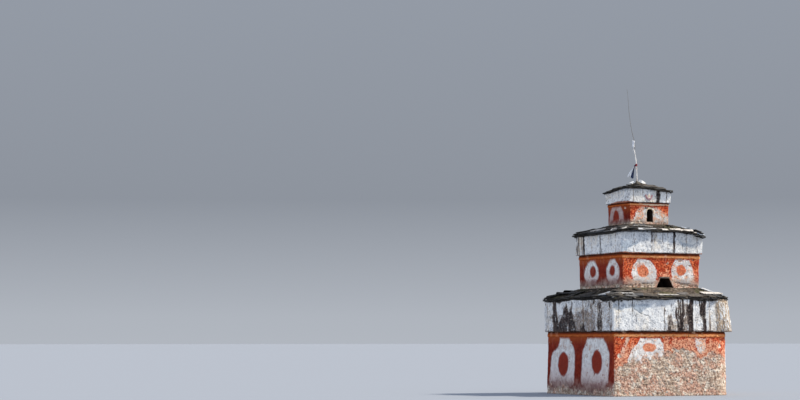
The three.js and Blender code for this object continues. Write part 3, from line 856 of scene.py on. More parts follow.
def head_gap(tier, side, u, points):
    """How far below the slates the plaster starts, at each point."""
    gap = profile(RUBBLE, tier, side, u, 0.035 * tier["relief"])
    return np.maximum(gap * (1 + 0.45 * noise(points, (0.16, 0.16, 9), 95, 3)), 0.004)


# Cracks that show in the friezes, as lines of (u, height).
CRACKS = {
    ("base", FRONT): [
        [
            (-1.27, 2.32), (-1.22, 2.21), (-1.17, 2.20), (-1.10, 2.16), (-1.04, 2.11), (-0.93, 2.10),
            (-0.82, 2.07), (-0.78, 2.02), (-0.75, 1.94), (-0.69, 1.92), (-0.62, 1.86)
        ],
        [(-1.28, 2.50), (-1.30, 2.36), (-1.27, 2.20), (-1.19, 2.02), (-1.17, 1.90)],
        [(-0.35, 1.93), (-0.30, 1.86), (-0.33, 1.78), (-0.28, 1.70)],
        [(1.33, 1.98), (1.29, 1.90), (1.34, 1.83), (1.31, 1.75)]
    ],
    ("base", LEFT): [
        [(1.16, 2.50), (1.14, 2.30), (1.17, 2.10), (1.15, 1.95)],
        [(0.40, 2.42), (0.46, 2.28), (0.42, 2.15)]
    ],
    ("base", RIGHT): [[(-0.4, 2.48), (-0.32, 2.30), (-0.38, 2.14), (-0.25, 2.0), (-0.28, 1.8)]],
    ("base", BACK): [
        [(0.6, 2.5), (0.52, 2.35), (0.60, 2.2), (0.48, 2.0)], [(-0.9, 1.7), (-0.84, 1.85), (-0.9, 2.0)]
    ],
    ("middle", FRONT): [
        [(-0.86, 4.22), (-0.88, 4.10), (-0.84, 4.0)], [(0.02, 4.2), (0.0, 4.08), (0.03, 3.98)]
    ],
    ("middle", RIGHT): [[(-0.3, 4.2), (-0.26, 4.0), (-0.32, 3.85)]],
}


def line_marks(table, tier, side, u, points, width):
    """1 on the lines a table gives for each side, falling to 0 at half the width."""
    z = points[:, 2]
    u = u + 0.012 * noise(points, 0.07, 301, 2)
    z = z + 0.012 * noise(points, 0.07, 305, 2)

    def near(entry, here):
        least = np.full(here.sum(), 1e9)
        for line in entry:
            for (ax, az), (bx, bz) in zip(line, line[1:]):
                dx, dz = bx - ax, bz - az
                t = np.clip(((u[here] - ax) * dx + (z[here] - az) * dz) / (dx * dx + dz * dz), 0, 1)
                least = np.minimum(least, np.hypot(u[here] - ax - t * dx, z[here] - az - t * dz))
        return smooth(width / 2, width / 6, least)

    return per_side(table, tier, side, 0, near)


def worn_corner(tier, points):
    """The base frieze's round corner, at the front right, has lost most of its coat."""
    if tier["name"] != "base":
        return np.zeros(len(points))
    across = points[:, 0] - points[:, 1]
    return smooth(2.95, 3.20, across + 0.12 * noise(points, 0.3, 77, 2))


def streak_marks(tier, points, side, u, drop):
    """How black the rain streaks are at each point of a frieze, and how brown their edges."""
    z = points[:, 2]
    sway = 0.008 * noise(points, (0.4, 0.4, 0.20), 55, 2) + 0.008 * noise(points, (0.2, 0.2, 0.06), 57, 2)
    swell = 1 + 0.30 * noise(points, (0.3, 0.3, 0.12), 59, 2)
    patchy = 0.85 + 0.45 * noise(points, (0.12, 0.12, 0.16), 63, 2)
    runs = 0.075 * noise(points, (0.05, 0.09, 0.34), 71, 3)

    def away_from(line, here):
        u_head, u_foot, wide_head, wide_foot = line
        t = drop[here]
        off = np.abs(u[here] + sway[here] - between(u_head, u_foot, t))
        return off / (between(wide_head, wide_foot, t) * swell[here])

    def black(rows, here):
        return np.max([
            between(at_head, at_foot, drop[here]) * patchy[here] * smooth(1.7, 0.35, away_from(line, here))
            for *line, at_head, at_foot, _ in rows
        ], axis=0)

    def brown(rows, here):
        return np.max(
            [share * smooth(2.4, 0.8, away_from(line, here)) for *line, _, _, share in rows], axis=0
        )

    def black_tongue(rows, here):
        depths = ((inside(u[here], z[here], shape) + runs[here], amount) for shape, amount in rows)
        return np.max([amount * smooth(-0.070, 0.055, depth) for depth, amount in depths], axis=0)

    def brown_tongue(rows, here):
        depths = (inside(u[here], z[here], shape) + runs[here] for shape, _ in rows)
        return np.max([0.7 * smooth(-0.07, 0.0, depth) for depth in depths], axis=0)

    return (np.maximum(per_side(STREAKS, tier, side, 0, streak), per_side(TONGUES, tier, side, 0, tongue))
            for streak, tongue in ((black, black_tongue), (brown, brown_tongue)))


def overhang(tier):
    """How far the slates stand out from the frieze."""
    return tier["eave_half"] - tier["frieze_half"] - 0.010


def shade_foot(tier, side, u):
    """How far down the frieze the slates throw their shade, at each point."""
    high = tier["frieze_head"]

    def shaded(set_back, here):
        rim = np.linspace(-tier["eave_half"], tier["eave_half"], 160)
        reach = overhang(tier) - np.interp(rim, *set_back)
        lift = np.interp(rim, *EAVES.get((tier["name"], FRONT), ([0], [0])))
        at = np.append(rim - SHADE_DRIFT * reach, tier["frieze_half"])
        end = np.append(high + lift - SHADE_DROP * reach, high)
        order = np.argsort(at)
        return np.interp(u[here], at[order], end[order])

    return per_side(SET_BACK, tier, side, high - SHADE_DROP * overhang(tier), shaded)


def painted_shade_marks(tier, points, side, u):
    """Painted shade under the slates, light over theirs, stronger where the photograph's shade reaches lower.
    """
    z, shade = points[:, 2], shade_foot(tier, side, u)
    painted_shade_foot = profile(SHADE_LINE, tier, side, u, tier["frieze_head"])
    ragged = 0.035 * noise(points, 0.12, 69, 3)
    filled = smooth(0.025, -0.015, z - shade - 0.03 + ragged) * smooth(0.02, 0.07, shade - painted_shade_foot)
    return smooth(-0.02, 0.02, z - painted_shade_foot + ragged) * (0.42 + 0.58 * filled)


def paint_frieze(frieze, tier):
    """Works out what the whitewash asks at each point of a frieze."""
    points = read_points(frieze)
    side, u = face_place(points)
    z, low, high, front = points[:, 2], tier["course_head"], tier["frieze_head"], side == FRONT
    drop = np.clip((high - z) / (high - low), 0, 1)
    streak, brown = streak_marks(tier, points, side, u, drop)
    wobble = 0.05 * noise(points, 0.12, 67, 2)
    grime, cream = (
        per_side(table, tier, side, 0, lambda places, here: stains(places, u, z, here, wobble))
        for table in (GRIME, CREAM)
    )
    bow, knob = crescent(points[:, 0], z) if tier["name"] == "top" else (0, 0)
    red_foot = profile(FRIEZE_FOOT, tier, side, u, -0.02) + low - z + 0.012 * noise(points, 0.06, 85, 2)
    write_fields(frieze, dict(
        streak=streak, brown=brown, grime=grime, cream=cream, worn=worn_corner(tier, points), drop=drop,
        under=(high + hip_lift(tier, points) - z) / head_gap(tier, side, u, points),
        mark=bow * front, knob=knob * front, crack=line_marks(CRACKS, tier, side, u, points, 0.024),
        painted_shade=painted_shade_marks(tier, points, side, u), painted=smooth(-0.004, 0.006, red_foot),
    ))


def crescent(u, z):
    """The worn moulding over the top niche: an upturned crescent with a knob in it."""
    middle_u, middle_z = -0.045, 5.302
    bow = np.hypot((u - middle_u) / 0.112, (z - middle_z) / 0.148)
    arc = smooth(0.34, 0.12, np.abs(bow - 0.84)) * smooth(0.015, -0.025, z - middle_z)
    knob = smooth(1.2, 0.5, np.hypot((u - middle_u) / 0.045, (z - middle_z + 0.045) / 0.055))
    return np.clip(arc, 0, 1) * (1 - knob), knob


# The rings of a slab, from below to above: how far in from its edge, how high and how uneven.
SLAB_RINGS = (
    (0.45, -0.5, 0), (0.010, -0.5, 0.003), (0.0, -0.3, 0.004), (0.003, 0.05, 0.004), (0.002, 0.34, 0.003),
    (0.010, 0.5, 0.002), (0.45, 0.5, 0),
)


def slab(rng, wide, deep, thick, around=18, chip=0.05):
    """A split slate, flat, with its middle at the origin. Gives its points and faces."""
    small = min(wide, deep)
    corners = np.array([[-0.5, -0.5], [0.5, -0.5], [0.5, 0.5], [-0.5, 0.5]]) * [wide, deep]
    corners = corners + rng.normal(0, chip, (4, 2)) * small
    edge = []
    for a, b in zip(corners, np.roll(corners, -1, axis=0)):
        near, far = rng.uniform(0.02, 0.16, 2) * min(1.0, small / np.hypot(*(b - a)) * 1.6)
        bend = a + (b - a) * rng.uniform(0.3, 0.7) + rng.normal(0, 0.018, 2) * small
        edge += [a + (b - a) * near, bend, b + (a - b) * far]
    edge = np.array(edge)
    length = np.hypot(*(np.roll(edge, -1, axis=0) - edge).T)
    run = np.concatenate([[0], np.cumsum(length)])
    extra = np.sort(rng.uniform(0, run[-1], max(0, around - 12)))
    t = np.sort(np.concatenate([run[:-1], extra]))
    around = len(t)
    closed = np.concatenate([edge, edge[:1]])
    ring = np.column_stack([np.interp(t, run, closed[:, 0]), np.interp(t, run, closed[:, 1])])
    middle = ring.mean(0)
    away = (ring - middle) / np.linalg.norm(ring - middle, axis=1)[:, None]
    lip = thick * 0.22
    rows = []
    for inset, height, jitter in SLAB_RINGS:
        if inset > 0.1:
            at = middle + (ring - middle) * (1 - inset)
        else:
            at = ring - away * (inset + lip * (abs(height) == 0.5))
        at = at + away * rng.normal(0, 1, (around, 1)) * jitter
        rows.append(np.column_stack([at, np.full(around, height * thick)]))
    ends = [[*middle, -0.5 * thick], [*middle, 0.5 * thick]]
    flat = np.concatenate([*rows, ends])
    saddle, bow_x, bow_y = rng.normal(0, 0.010, 3)
    x, y = flat[:, 0] / wide, flat[:, 1] / deep
    flat[:, 2] += saddle * x * y * 2 + bow_x * (x * x - 0.08) + bow_y * (y * y - 0.08)
    return flat, skin_faces(len(rows), around)


def axes_of(out2, slope, twist=0.0, roll=0.0):
    """Axes of a slab: its x along the eaves, its y inwards and up the slope."""
    c, s = math.cos(twist), math.sin(twist)
    out2 = np.array([c * out2[0] - s * out2[1], s * out2[0] + c * out2[1]])
    along = np.array([-out2[1], out2[0], 0.0])
    inward = np.array([-out2[0] * math.cos(slope), -out2[1] * math.cos(slope), math.sin(slope)])
    up = np.cross(along, inward)
    c, s = math.cos(roll), math.sin(roll)
    return np.array([c * along + s * up, inward, -s * along + c * up])


# How many points the path round a rim has on each straight side.
EDGE_POINTS = 120


def corner_points(radius):
    """How many points the path has round a corner."""
    return max(6, round(radius / 0.02))


def rim_path(half, radii):
    """Points, outward directions and the length run so far, all the way round a rim."""
    points, outs = outline(half, radii, [EDGE_POINTS] * 4, [corner_points(r) for r in radii])
    length = np.hypot(*(np.roll(points, -1, axis=0) - points).T)
    return points, outs, np.concatenate([[0], np.cumsum(length)])


def on_path(path, s):
    """The place and the outward direction at a length along a path."""
    points, outs, run = path
    s = s % run[-1]
    k = min(np.searchsorted(run, s, side="right") - 1, len(points) - 1)
    t = (s - run[k]) / (run[k + 1] - run[k])
    m = (k + 1) % len(points)
    out2 = outs[k] * (1 - t) + outs[m] * t
    return points[k] * (1 - t) + points[m] * t, out2 / np.hypot(*out2)


def keep_within(points, half, radii):
    """Draws points that stand outside a rounded square in to it."""
    p = points.copy()
    for k in range(4):
        c = (half - radii[k]) * (OUT[k] + ALONG[k])
        d = p[:, :2] - c
        beyond = (d @ OUT[k] > 0) & (d @ ALONG[k] > 0)
        far = np.hypot(*d.T)
        pull = beyond & (far > radii[k])
        p[pull, :2] = c + d[pull] * (radii[k] / far[pull])[:, None]
    p[:, :2] = np.clip(p[:, :2], -half, half)
    return p


# How low the shade under the slates reaches in the photograph, along each side; painted shade fills it out.
SHADE_LINE = {
    ("base", FRONT): (
        [-1.9, -1.65, -1.42, -1.25, -1.08, -0.92, -0.74, -0.51, -0.28, -0.14, 0.0, 1.8],
        [2.24, 2.23, 2.27, 2.25, 2.135, 2.215, 2.276, 2.337, 2.378, 2.459, 2.50, 2.50]
    ),
    ("middle", FRONT): (
        [-1.24, -1.09, -1.02, -0.83, -0.55, -0.33, -0.22, 0.0, 0.30, 0.47, 0.61, 0.94, 1.24],
        [3.72, 3.76, 3.84, 3.924, 4.024, 4.148, 3.983, 4.059, 3.969, 4.069, 3.903, 3.886, 4.156]
    ),
}


def set_back_for_shade(tier, u, z):
    """How short the slates are along the front, so that their shade ends on the line (u, z)."""
    u, z, high, most = np.array(u), np.array(z), tier["frieze_head"], overhang(tier)
    lift = EAVES.get((tier["name"], FRONT), ([0], [0]))
    reach = np.full(len(u), most)
    for _ in range(8):
        reach = np.clip((high + np.interp(u + SHADE_DRIFT * reach, *lift) - z) / SHADE_DROP, 0.01, most)
    return u + SHADE_DRIFT * reach, most - reach


# How far the slates are set back from the rim along a side, in metres: the eaves throw less shade where
# they are short.
SET_BACK = {("base", LEFT): ([-1.9, -1.2, 0.0, 1.9], [0.0, 0.02, 0.03, 0.0])}
for (name, side), line in SHADE_LINE.items():
    SET_BACK[name, side] = set_back_for_shade(TIERS[name], *line)


# How deep dark rubble and painted shade show under the slates at a frieze's head, along each side.
RUBBLE = {
    ("base", FRONT): (
        [-1.86, -1.54, -1.33, -1.06, -0.79, 0.0, 0.31, 0.58, 0.80, 1.00, 1.33, 1.42, 1.61, 1.9],
        [0.085, 0.070, 0.048, 0.036, 0.022, 0.028, 0.015, 0.036, 0.056, 0.064, 0.030, 0.062, 0.10, 0.11]
    ),
    ("base", LEFT): (
        [-1.82, -1.24, -1.03, -0.68, -0.51, -0.33, 0.0, 0.35, 0.68, 0.95, 1.18, 1.34, 1.66],
        [0.048, 0.050, 0.060, 0.050, 0.025, 0.012, 0.018, 0.030, 0.034, 0.019, 0.023, 0.070, 0.075]
    ),
    ("middle", FRONT): ([-1.24, 0.6, 0.95, 1.24], [0.012, 0.014, 0.030, 0.050]),
    ("middle", LEFT): ([-1.24, -0.8, 0.6, 1.24], [0.028, 0.016, 0.012, 0.012]),
    ("top", FRONT): ([-0.65, 0.65], [0.010, 0.014]), ("top", LEFT): ([-0.65, 0.65], [0.020, 0.010]),
}


def along_side(table, tier, side, u, default):
    """What a table of lines along the sides says at one place."""
    entry = table.get((tier["name"], side))
    return float(np.interp(u, *entry)) if entry else default


def slate_courses(tier):
    """The courses of slates round the eaves, from the thin stones on the wall head up. Height is the
    middle of the slates, spread how much it varies, inset how far back from the rim they may lie. A course
    is left out where less rubble shows than it needs."""
    k, low, high = tier["relief"], tier["frieze_head"], tier["slate_head"]
    wide, deep, half_slate = tier["slate_wide"], tier["slate_deep"], tier["slate_thick"] * 0.42
    bright = 0.93 if tier["name"] == "middle" else 0.88
    return (
        dict(seed=60, height=low - 0.026 * k, spread=(-0.012 * k, 0.006), inset=(0.012, 0.060 * k), slope=0.0,
             widths=(0.08, wide[1] * 0.6), depth=deep * 0.6, gap=0.10, need=0.048, tones=(0.6, 0.80)),
        dict(seed=80, height=low - 0.002 * k, spread=(-0.006 * k, 0.002), inset=(0.0, 0.045 * k), slope=0.0,
             widths=(0.08, wide[1] * 0.8), depth=deep * 0.6, gap=0.03, need=0.022, tones=(0.6, 0.85)),
        dict(seed=100, height=low + half_slate, spread=(-0.002, 0.003), inset=(0.0, 0.034 * k), slope=0.02,
             widths=wide, depth=deep, gap=0.012, need=0.0, tones=(0.8, bright)),
        dict(seed=110, height=high - half_slate, spread=(-0.006, 0.009), inset=(0.0, 0.075 * k), slope=0.06,
             widths=wide, depth=deep, gap=0.02, need=0.0, tones=(0.8, bright)),
    )


def build_slates(tier):
    """Courses of split slates round the eaves, with rubble bedded under and between them."""
    name, half, radii, k = tier["name"], tier["eave_half"], tier["rim_radii"], tier["relief"]
    low, high = tier["frieze_head"], tier["slate_head"]
    forms = [Form() for _ in SIDES]
    path = rim_path(half, radii)
    whole = path[2][-1]

    def place_at(s):
        place, out2 = on_path(path, s)
        side = int(np.argmax(OUT @ place))
        return place, out2, side, float(place @ ALONG[side])

    def lay_course(seed, height, spread, inset, slope, widths, depth, gap, need, tones):
        rng = np.random.default_rng(seed + len(name))
        s = rng.uniform(0, 0.2)
        end = s + whole
        while s < end - 0.05:
            wide = min(rng.uniform(*widths) * rng.choice([0.45, 0.75, 1.0, 1.15]), end - s)
            place, out2, side, u = place_at(s + wide / 2)
            s += wide + max(0.0, rng.normal(0, gap))
            deep = depth * rng.uniform(0.7, 1.05)
            thick = tier["slate_thick"] * rng.uniform(0.4, 0.75)
            points, faces = slab(rng, wide - rng.uniform(-0.01, 0.014), deep, thick)
            lift = hip_lift(tier, place[None, :])[0]
            beside = place + 0.1 * np.array([-out2[1], out2[0]])
            climb = (hip_lift(tier, beside[None, :])[0] - lift) / 0.1
            tilt, twist = slope * rng.uniform(0.2, 1.5), rng.normal(0, 0.05)
            axes = axes_of(out2, tilt, twist, climb + rng.normal(0, 0.018))
            back = rng.uniform(*inset) * rng.choice([0.3, 1.0, 1.0])
            back += along_side(SET_BACK, tier, side, u, 0.0)
            middle = place - out2 * (back + deep / 2 - 0.01)
            centre = np.array([*middle, height + lift + rng.uniform(*spread)])
            world = keep_within(points @ axes + centre, half - rng.uniform(0, 0.012), radii)
            fields = dict(tint=rng.random() * tones[0], pale=rng.random() * tones[1], wet=rng.random())
            if along_side(RUBBLE, tier, side, u, 0.035) >= need:
                forms[side].add(world, faces, **fields)

    def bed_rubble(under_slates):
        """A row of small stones between the slates, or under them against the frieze."""
        s = 0.0
        while s < whole:
            size = rng.uniform(0.022, 0.060) * (0.5 + 0.5 * k)
            place, out2, side, u = place_at(s)
            s += size * rng.uniform(0.7, 1.8) + (0.02 if under_slates else 0)
            deep_here = along_side(RUBBLE, tier, side, u, 0.035)
            if under_slates:
                size = min(size, deep_here * 1.1)
            points, faces = stone(rng, (size, size * 1.2, size * 0.7), finer=1, cuts=4)
            if under_slates:
                back = half - tier["frieze_half"] + rng.uniform(0.004, 0.014)
                z = low - deep_here * rng.uniform(0.0, 0.95)
            else:
                back = max(rng.uniform(0.03, 0.07), along_side(SET_BACK, tier, side, u, 0.0) + 0.01)
                z = rng.uniform(low, high - 0.012)
            centre = np.array([*(place - out2 * back), z + hip_lift(tier, place[None, :])[0]])
            world = keep_within(turned(rng, points, 0.3) + centre, half - 0.004, radii)
            forms[side].add(world, [faces], tint=rng.random() ** 2 * 0.8, pale=rng.random() * 0.86, wet=0.0)

    for course in slate_courses(tier):
        lay_course(**course)
    rng = np.random.default_rng(140 + len(name))
    for under_slates in (False, True, True):
        bed_rubble(under_slates)
    for side, form in zip(SIDES, forms):
        piece = form.build(f"{name}_eaves_slates_{side}", sharp=38)
        settle(piece, "slate", MATERIALS["slate"], f"{name}_slates_{side}")
        mark_shady(piece, tier)


# How much painted shade darkens the roofs along each side, from 0 to 1.
ROOF_SHADE = {
    ("base", FRONT): ([-1.9, 0.5, 1.1, 1.9], [0.08, 0.08, 0.75, 0.80]), ("base", RIGHT): ([0], [0.60]),
}
for name in TIERS:
    ROOF_SHADE[name, LEFT] = ([0], [1.0])
for name in ("middle", "top"):
    for side in (FRONT, RIGHT):
        ROOF_SHADE[name, side] = ([0], [0.80])


def mark_shady(piece, tier):
    """Works out how much painted shade darkens the roof at each point of a piece."""
    side, u = face_place(read_points(piece))
    write_fields(piece, dict(shady=profile(ROOF_SHADE, tier, side, u, 0.7)))


def stains(places, u, z, here, wobble):
    """Stretches of a side, each as first u, last u, lowest, highest, strength, with ragged edges."""
    stain = np.zeros(here.sum())
    u, z = u[here] + wobble[here], z[here] + wobble[here]
    for u0, u1, z0, z1, amount in places:
        across = amount * smooth(u0 - 0.05, u0 + 0.03, u) * smooth(u1 + 0.05, u1 - 0.03, u)
        stain = np.maximum(stain, across * smooth(z0 - 0.05, z0 + 0.03, z) * smooth(z1 + 0.05, z1 - 0.03, z))
    return stain


# Places where rain has laid black dirt on the base frieze in broad tongues, as outlines in (u, height),
# with their strength.
TONGUES = {
    ("base", LEFT): [
        (
            [
                (-1.37, 2.48), (-1.22, 2.46), (-1.20, 2.29), (-1.12, 2.08), (-1.02, 1.83), (-1.00, 1.62),
                (-1.42, 1.62), (-1.41, 1.97), (-1.50, 2.04), (-1.42, 2.17)
            ],
            0.80
        ),
        (
            [
                (-0.60, 2.42), (-0.55, 2.33), (-0.56, 2.03), (-0.585, 1.62), (-0.98, 1.62),
                (-0.99, 1.97), (-0.86, 2.10), (-0.75, 2.21)
            ],
            0.82
        ),
        (
            [
                (-0.32, 2.49), (-0.26, 2.42), (-0.33, 2.21), (-0.25, 2.09), (-0.13, 1.89), (-0.08, 1.62),
                (-0.53, 1.62), (-0.53, 1.96), (-0.42, 2.16), (-0.35, 2.32)
            ],
            0.84
        ),
        ([(0.31, 1.96), (0.39, 1.79), (0.49, 1.62), (0.13, 1.62), (0.22, 1.79)], 1.0),
        ([(0.83, 2.45), (0.88, 2.42), (0.77, 2.29), (0.88, 2.12), (0.81, 2.12), (0.70, 2.29)], 0.75),
        ([(1.06, 2.46), (1.30, 2.46), (1.30, 1.88), (1.28, 1.64), (1.08, 1.64), (1.05, 1.88)], 0.62),
        ([(1.66, 2.40), (1.735, 2.40), (1.715, 1.63), (1.67, 1.63)], 0.9),
    ],
    ("base", FRONT): [
        (
            [
                (0.06, 2.50), (0.18, 2.50), (0.175, 2.19), (0.27, 1.97), (0.285, 1.66), (0.02, 1.66),
                (0.065, 1.95), (0.075, 2.19)
            ],
            1.15
        ),
        ([(0.17, 2.40), (0.28, 2.36), (0.30, 1.66), (0.15, 1.66)], 0.72),
        (
            [
                (0.37, 2.51), (0.525, 2.51), (0.49, 2.19), (0.49, 1.95), (0.52, 1.66), (0.415, 1.66),
                (0.39, 1.95), (0.37, 2.19)
            ],
            1.25
        ),
        (
            [
                (0.77, 2.51), (0.89, 2.51), (0.875, 2.19), (0.89, 1.95), (0.905, 1.66), (0.77, 1.66),
                (0.795, 1.95), (0.775, 2.19)
            ],
            1.1
        ),
        ([(-0.22, 2.05), (-0.15, 2.08), (-0.14, 1.66), (-0.29, 1.66)], 0.55),
        ([(1.32, 1.92), (1.38, 1.92), (1.39, 1.68), (1.29, 1.68)], 0.75),
    ],
}


def bed_rows(tier):
    """Where the bed of a roof starts and ends: half widths, radii and heights."""
    start, end = tier["eave_half"] - 0.075, tier["next_half"] + 0.035
    return start, end, tier["slate_head"] - 0.004, tier["roof_head"] - tier["bed_drop"]


def bed_height(tier, x, y):
    """The height of the roof bed over a place."""
    start, end, low, high = bed_rows(tier)
    corner = int(corner_share(np.array([[x, y]]))[0][0])
    near, far = 0.0, 1.0
    for _ in range(18):
        t = (near + far) / 2
        half = start + (end - start) * t
        r = tier["rim_radii"][corner] * (1 - t) + tier["next_radii"][corner] * t
        qx, qy = abs(x) - half + r, abs(y) - half + r
        if math.hypot(max(qx, 0), max(qy, 0)) + min(max(qx, qy), 0) > r:
            far = t
        else:
            near = t
    return low + (high - low) * near + hip_lift(tier, np.array([[x, y]]))[0] * (1 - near)


# Stones, cut from balls.
def icosphere(times):
    """A ball of triangles, each split into four a number of times."""
    g = (1 + 5 ** 0.5) / 2
    points = np.array(
        [
            (-1, g, 0), (1, g, 0), (-1, -g, 0), (1, -g, 0), (0, -1, g), (0, 1, g), (0, -1, -g), (0, 1, -g),
            (g, 0, -1), (g, 0, 1), (-g, 0, -1), (-g, 0, 1)
        ],
        float
    )
    faces = [
        (0, 11, 5), (0, 5, 1), (0, 1, 7), (0, 7, 10), (0, 10, 11), (1, 5, 9), (5, 11, 4), (11, 10, 2),
        (10, 7, 6), (7, 1, 8), (3, 9, 4), (3, 4, 2), (3, 2, 6), (3, 6, 8), (3, 8, 9), (4, 9, 5), (2, 4, 11),
        (6, 2, 10), (8, 6, 7), (9, 8, 1)
    ]
    points = list(points / np.linalg.norm(points[0]))
    for _ in range(times):
        middles, finer = {}, []
        for a, b, c in faces:
            m = []
            for p, q in ((a, b), (b, c), (c, a)):
                key = (min(p, q), max(p, q))
                if key not in middles:
                    v = points[p] + points[q]
                    middles[key] = len(points)
                    points.append(v / np.linalg.norm(v))
                m.append(middles[key])
            finer += [(a, m[0], m[2]), (b, m[1], m[0]), (c, m[2], m[1]), tuple(m)]
        faces = finer
    return np.array(points), np.array(faces)


BALLS = [icosphere(n) for n in range(4)]


def stone(rng, size, finer, cuts=5):
    """A broken stone: a ball with flat faces cut off it and a rough skin."""
    points, faces = BALLS[finer]
    p = points.copy()
    for _ in range(cuts):
        normal = rng.normal(0, 1, 3)
        normal /= np.linalg.norm(normal)
        depth = rng.uniform(0.45, 0.8)
        over = p @ normal - depth
        p -= np.where(over > 0, over, 0)[:, None] * normal
    p *= (1 + 0.10 * noise(p, 0.7, int(rng.integers(1, 9999)), 2))[:, None]
    p = p / np.abs(p).max(0) * np.asarray(size) / 2
    return p, faces


def turned(rng, points, flatness=1.0):
    """Points turned any way round, and tipped a little both ways."""
    a = rng.uniform(0, 2 * math.pi)
    b, c = rng.normal(0, 0.35 * flatness, 2)
    ca, sa = math.cos(a), math.sin(a)
    spin = np.array([[ca, -sa, 0], [sa, ca, 0], [0, 0, 1]])
    tip = np.array([[math.cos(b), 0, math.sin(b)], [0, 1, 0], [-math.sin(b), 0, math.cos(b)]])
    tilt = np.array([[1, 0, 0], [0, math.cos(c), -math.sin(c)], [0, math.sin(c), math.cos(c)]])
    return points @ (spin @ tip @ tilt).T


def build_roof(tier, pebbles):
    """A bed of packed earth from the eaves up to the wall above, with gravel on it."""
    name, rim_radii, next_radii, relief = tier["name"], tier["rim_radii"], tier["next_radii"], tier["relief"]
    start, end, low, high = bed_rows(tier)
    run = math.hypot(start - end, high - low)
    step = 0.024 if name == "base" else 0.018
    rows = [
        (tier["frieze_head"] + 0.012, start - 0.09, rim_radii),
        (tier["frieze_head"] + 0.02, start - 0.01, rim_radii), (low - 0.02, start, rim_radii),
        (low - 0.006, start, rim_radii),
    ]
    for t in np.linspace(0.02, 1, round(run / step)):
        rows.append((between(low, high, t), between(start, end, t), radii_between(rim_radii, next_radii, t)))
    rows += [(high - 0.012, end - 0.06, next_radii)]
    points, outs = stack(rows, step, widest(rim_radii, next_radii))
    shape = points.shape
    flat, away = points.reshape(-1, 3).copy(), outs.reshape(-1, 2)
    t = np.clip((flat[:, 2] - low) / (high - low), 0, 1)
    ragged = 0.016 + 0.018 * noise(flat, 0.12, 21, 3)
    flat[:, :2] -= away * ((1 - smooth(0, 0.25, t)) * ragged)[:, None]
    middle_of_slope = smooth(0, 0.12, t) * smooth(1.0, 0.93, t)
    lumps = 0.010 * noise(flat, 0.30, 24, 2) + 0.006 * noise(flat, 0.09, 27, 3)
    flat[:, 2] += lumps * (0.3 + 0.7 * middle_of_slope) * relief + hip_lift(tier, flat) * (1 - t)
    form = Form()
    grid = flat.reshape(shape)
    add_stack(form, grid, stone=0.0, tint=0.0)
    rng = np.random.default_rng(500 + len(name))
    for _ in range(pebbles):
        i = 4 + int((shape[0] - 7) * rng.beta(1.0, 1.15))
        j = int(rng.integers(shape[1]))
        size = min(np.exp(rng.normal(math.log(0.024), 0.5)) * (0.6 + 0.5 * relief), 0.085)
        box = size * rng.uniform(0.6, 1.2, 3) * [1.2, 1.0, 0.55]
        p, f = stone(rng, box, finer=0 if size < 0.035 else 1, cuts=3)
        form.add(turned(rng, p, 0.6) + grid[i, j] + [0, 0, size * 0.06], [f], stone=1.0, tint=rng.random())
    piece = form.build(f"{name}_roof_bed", sharp=50)
    settle(piece, "roof_earth", MATERIALS["earth"], f"{name}_roof")
    mark_shady(piece, tier)


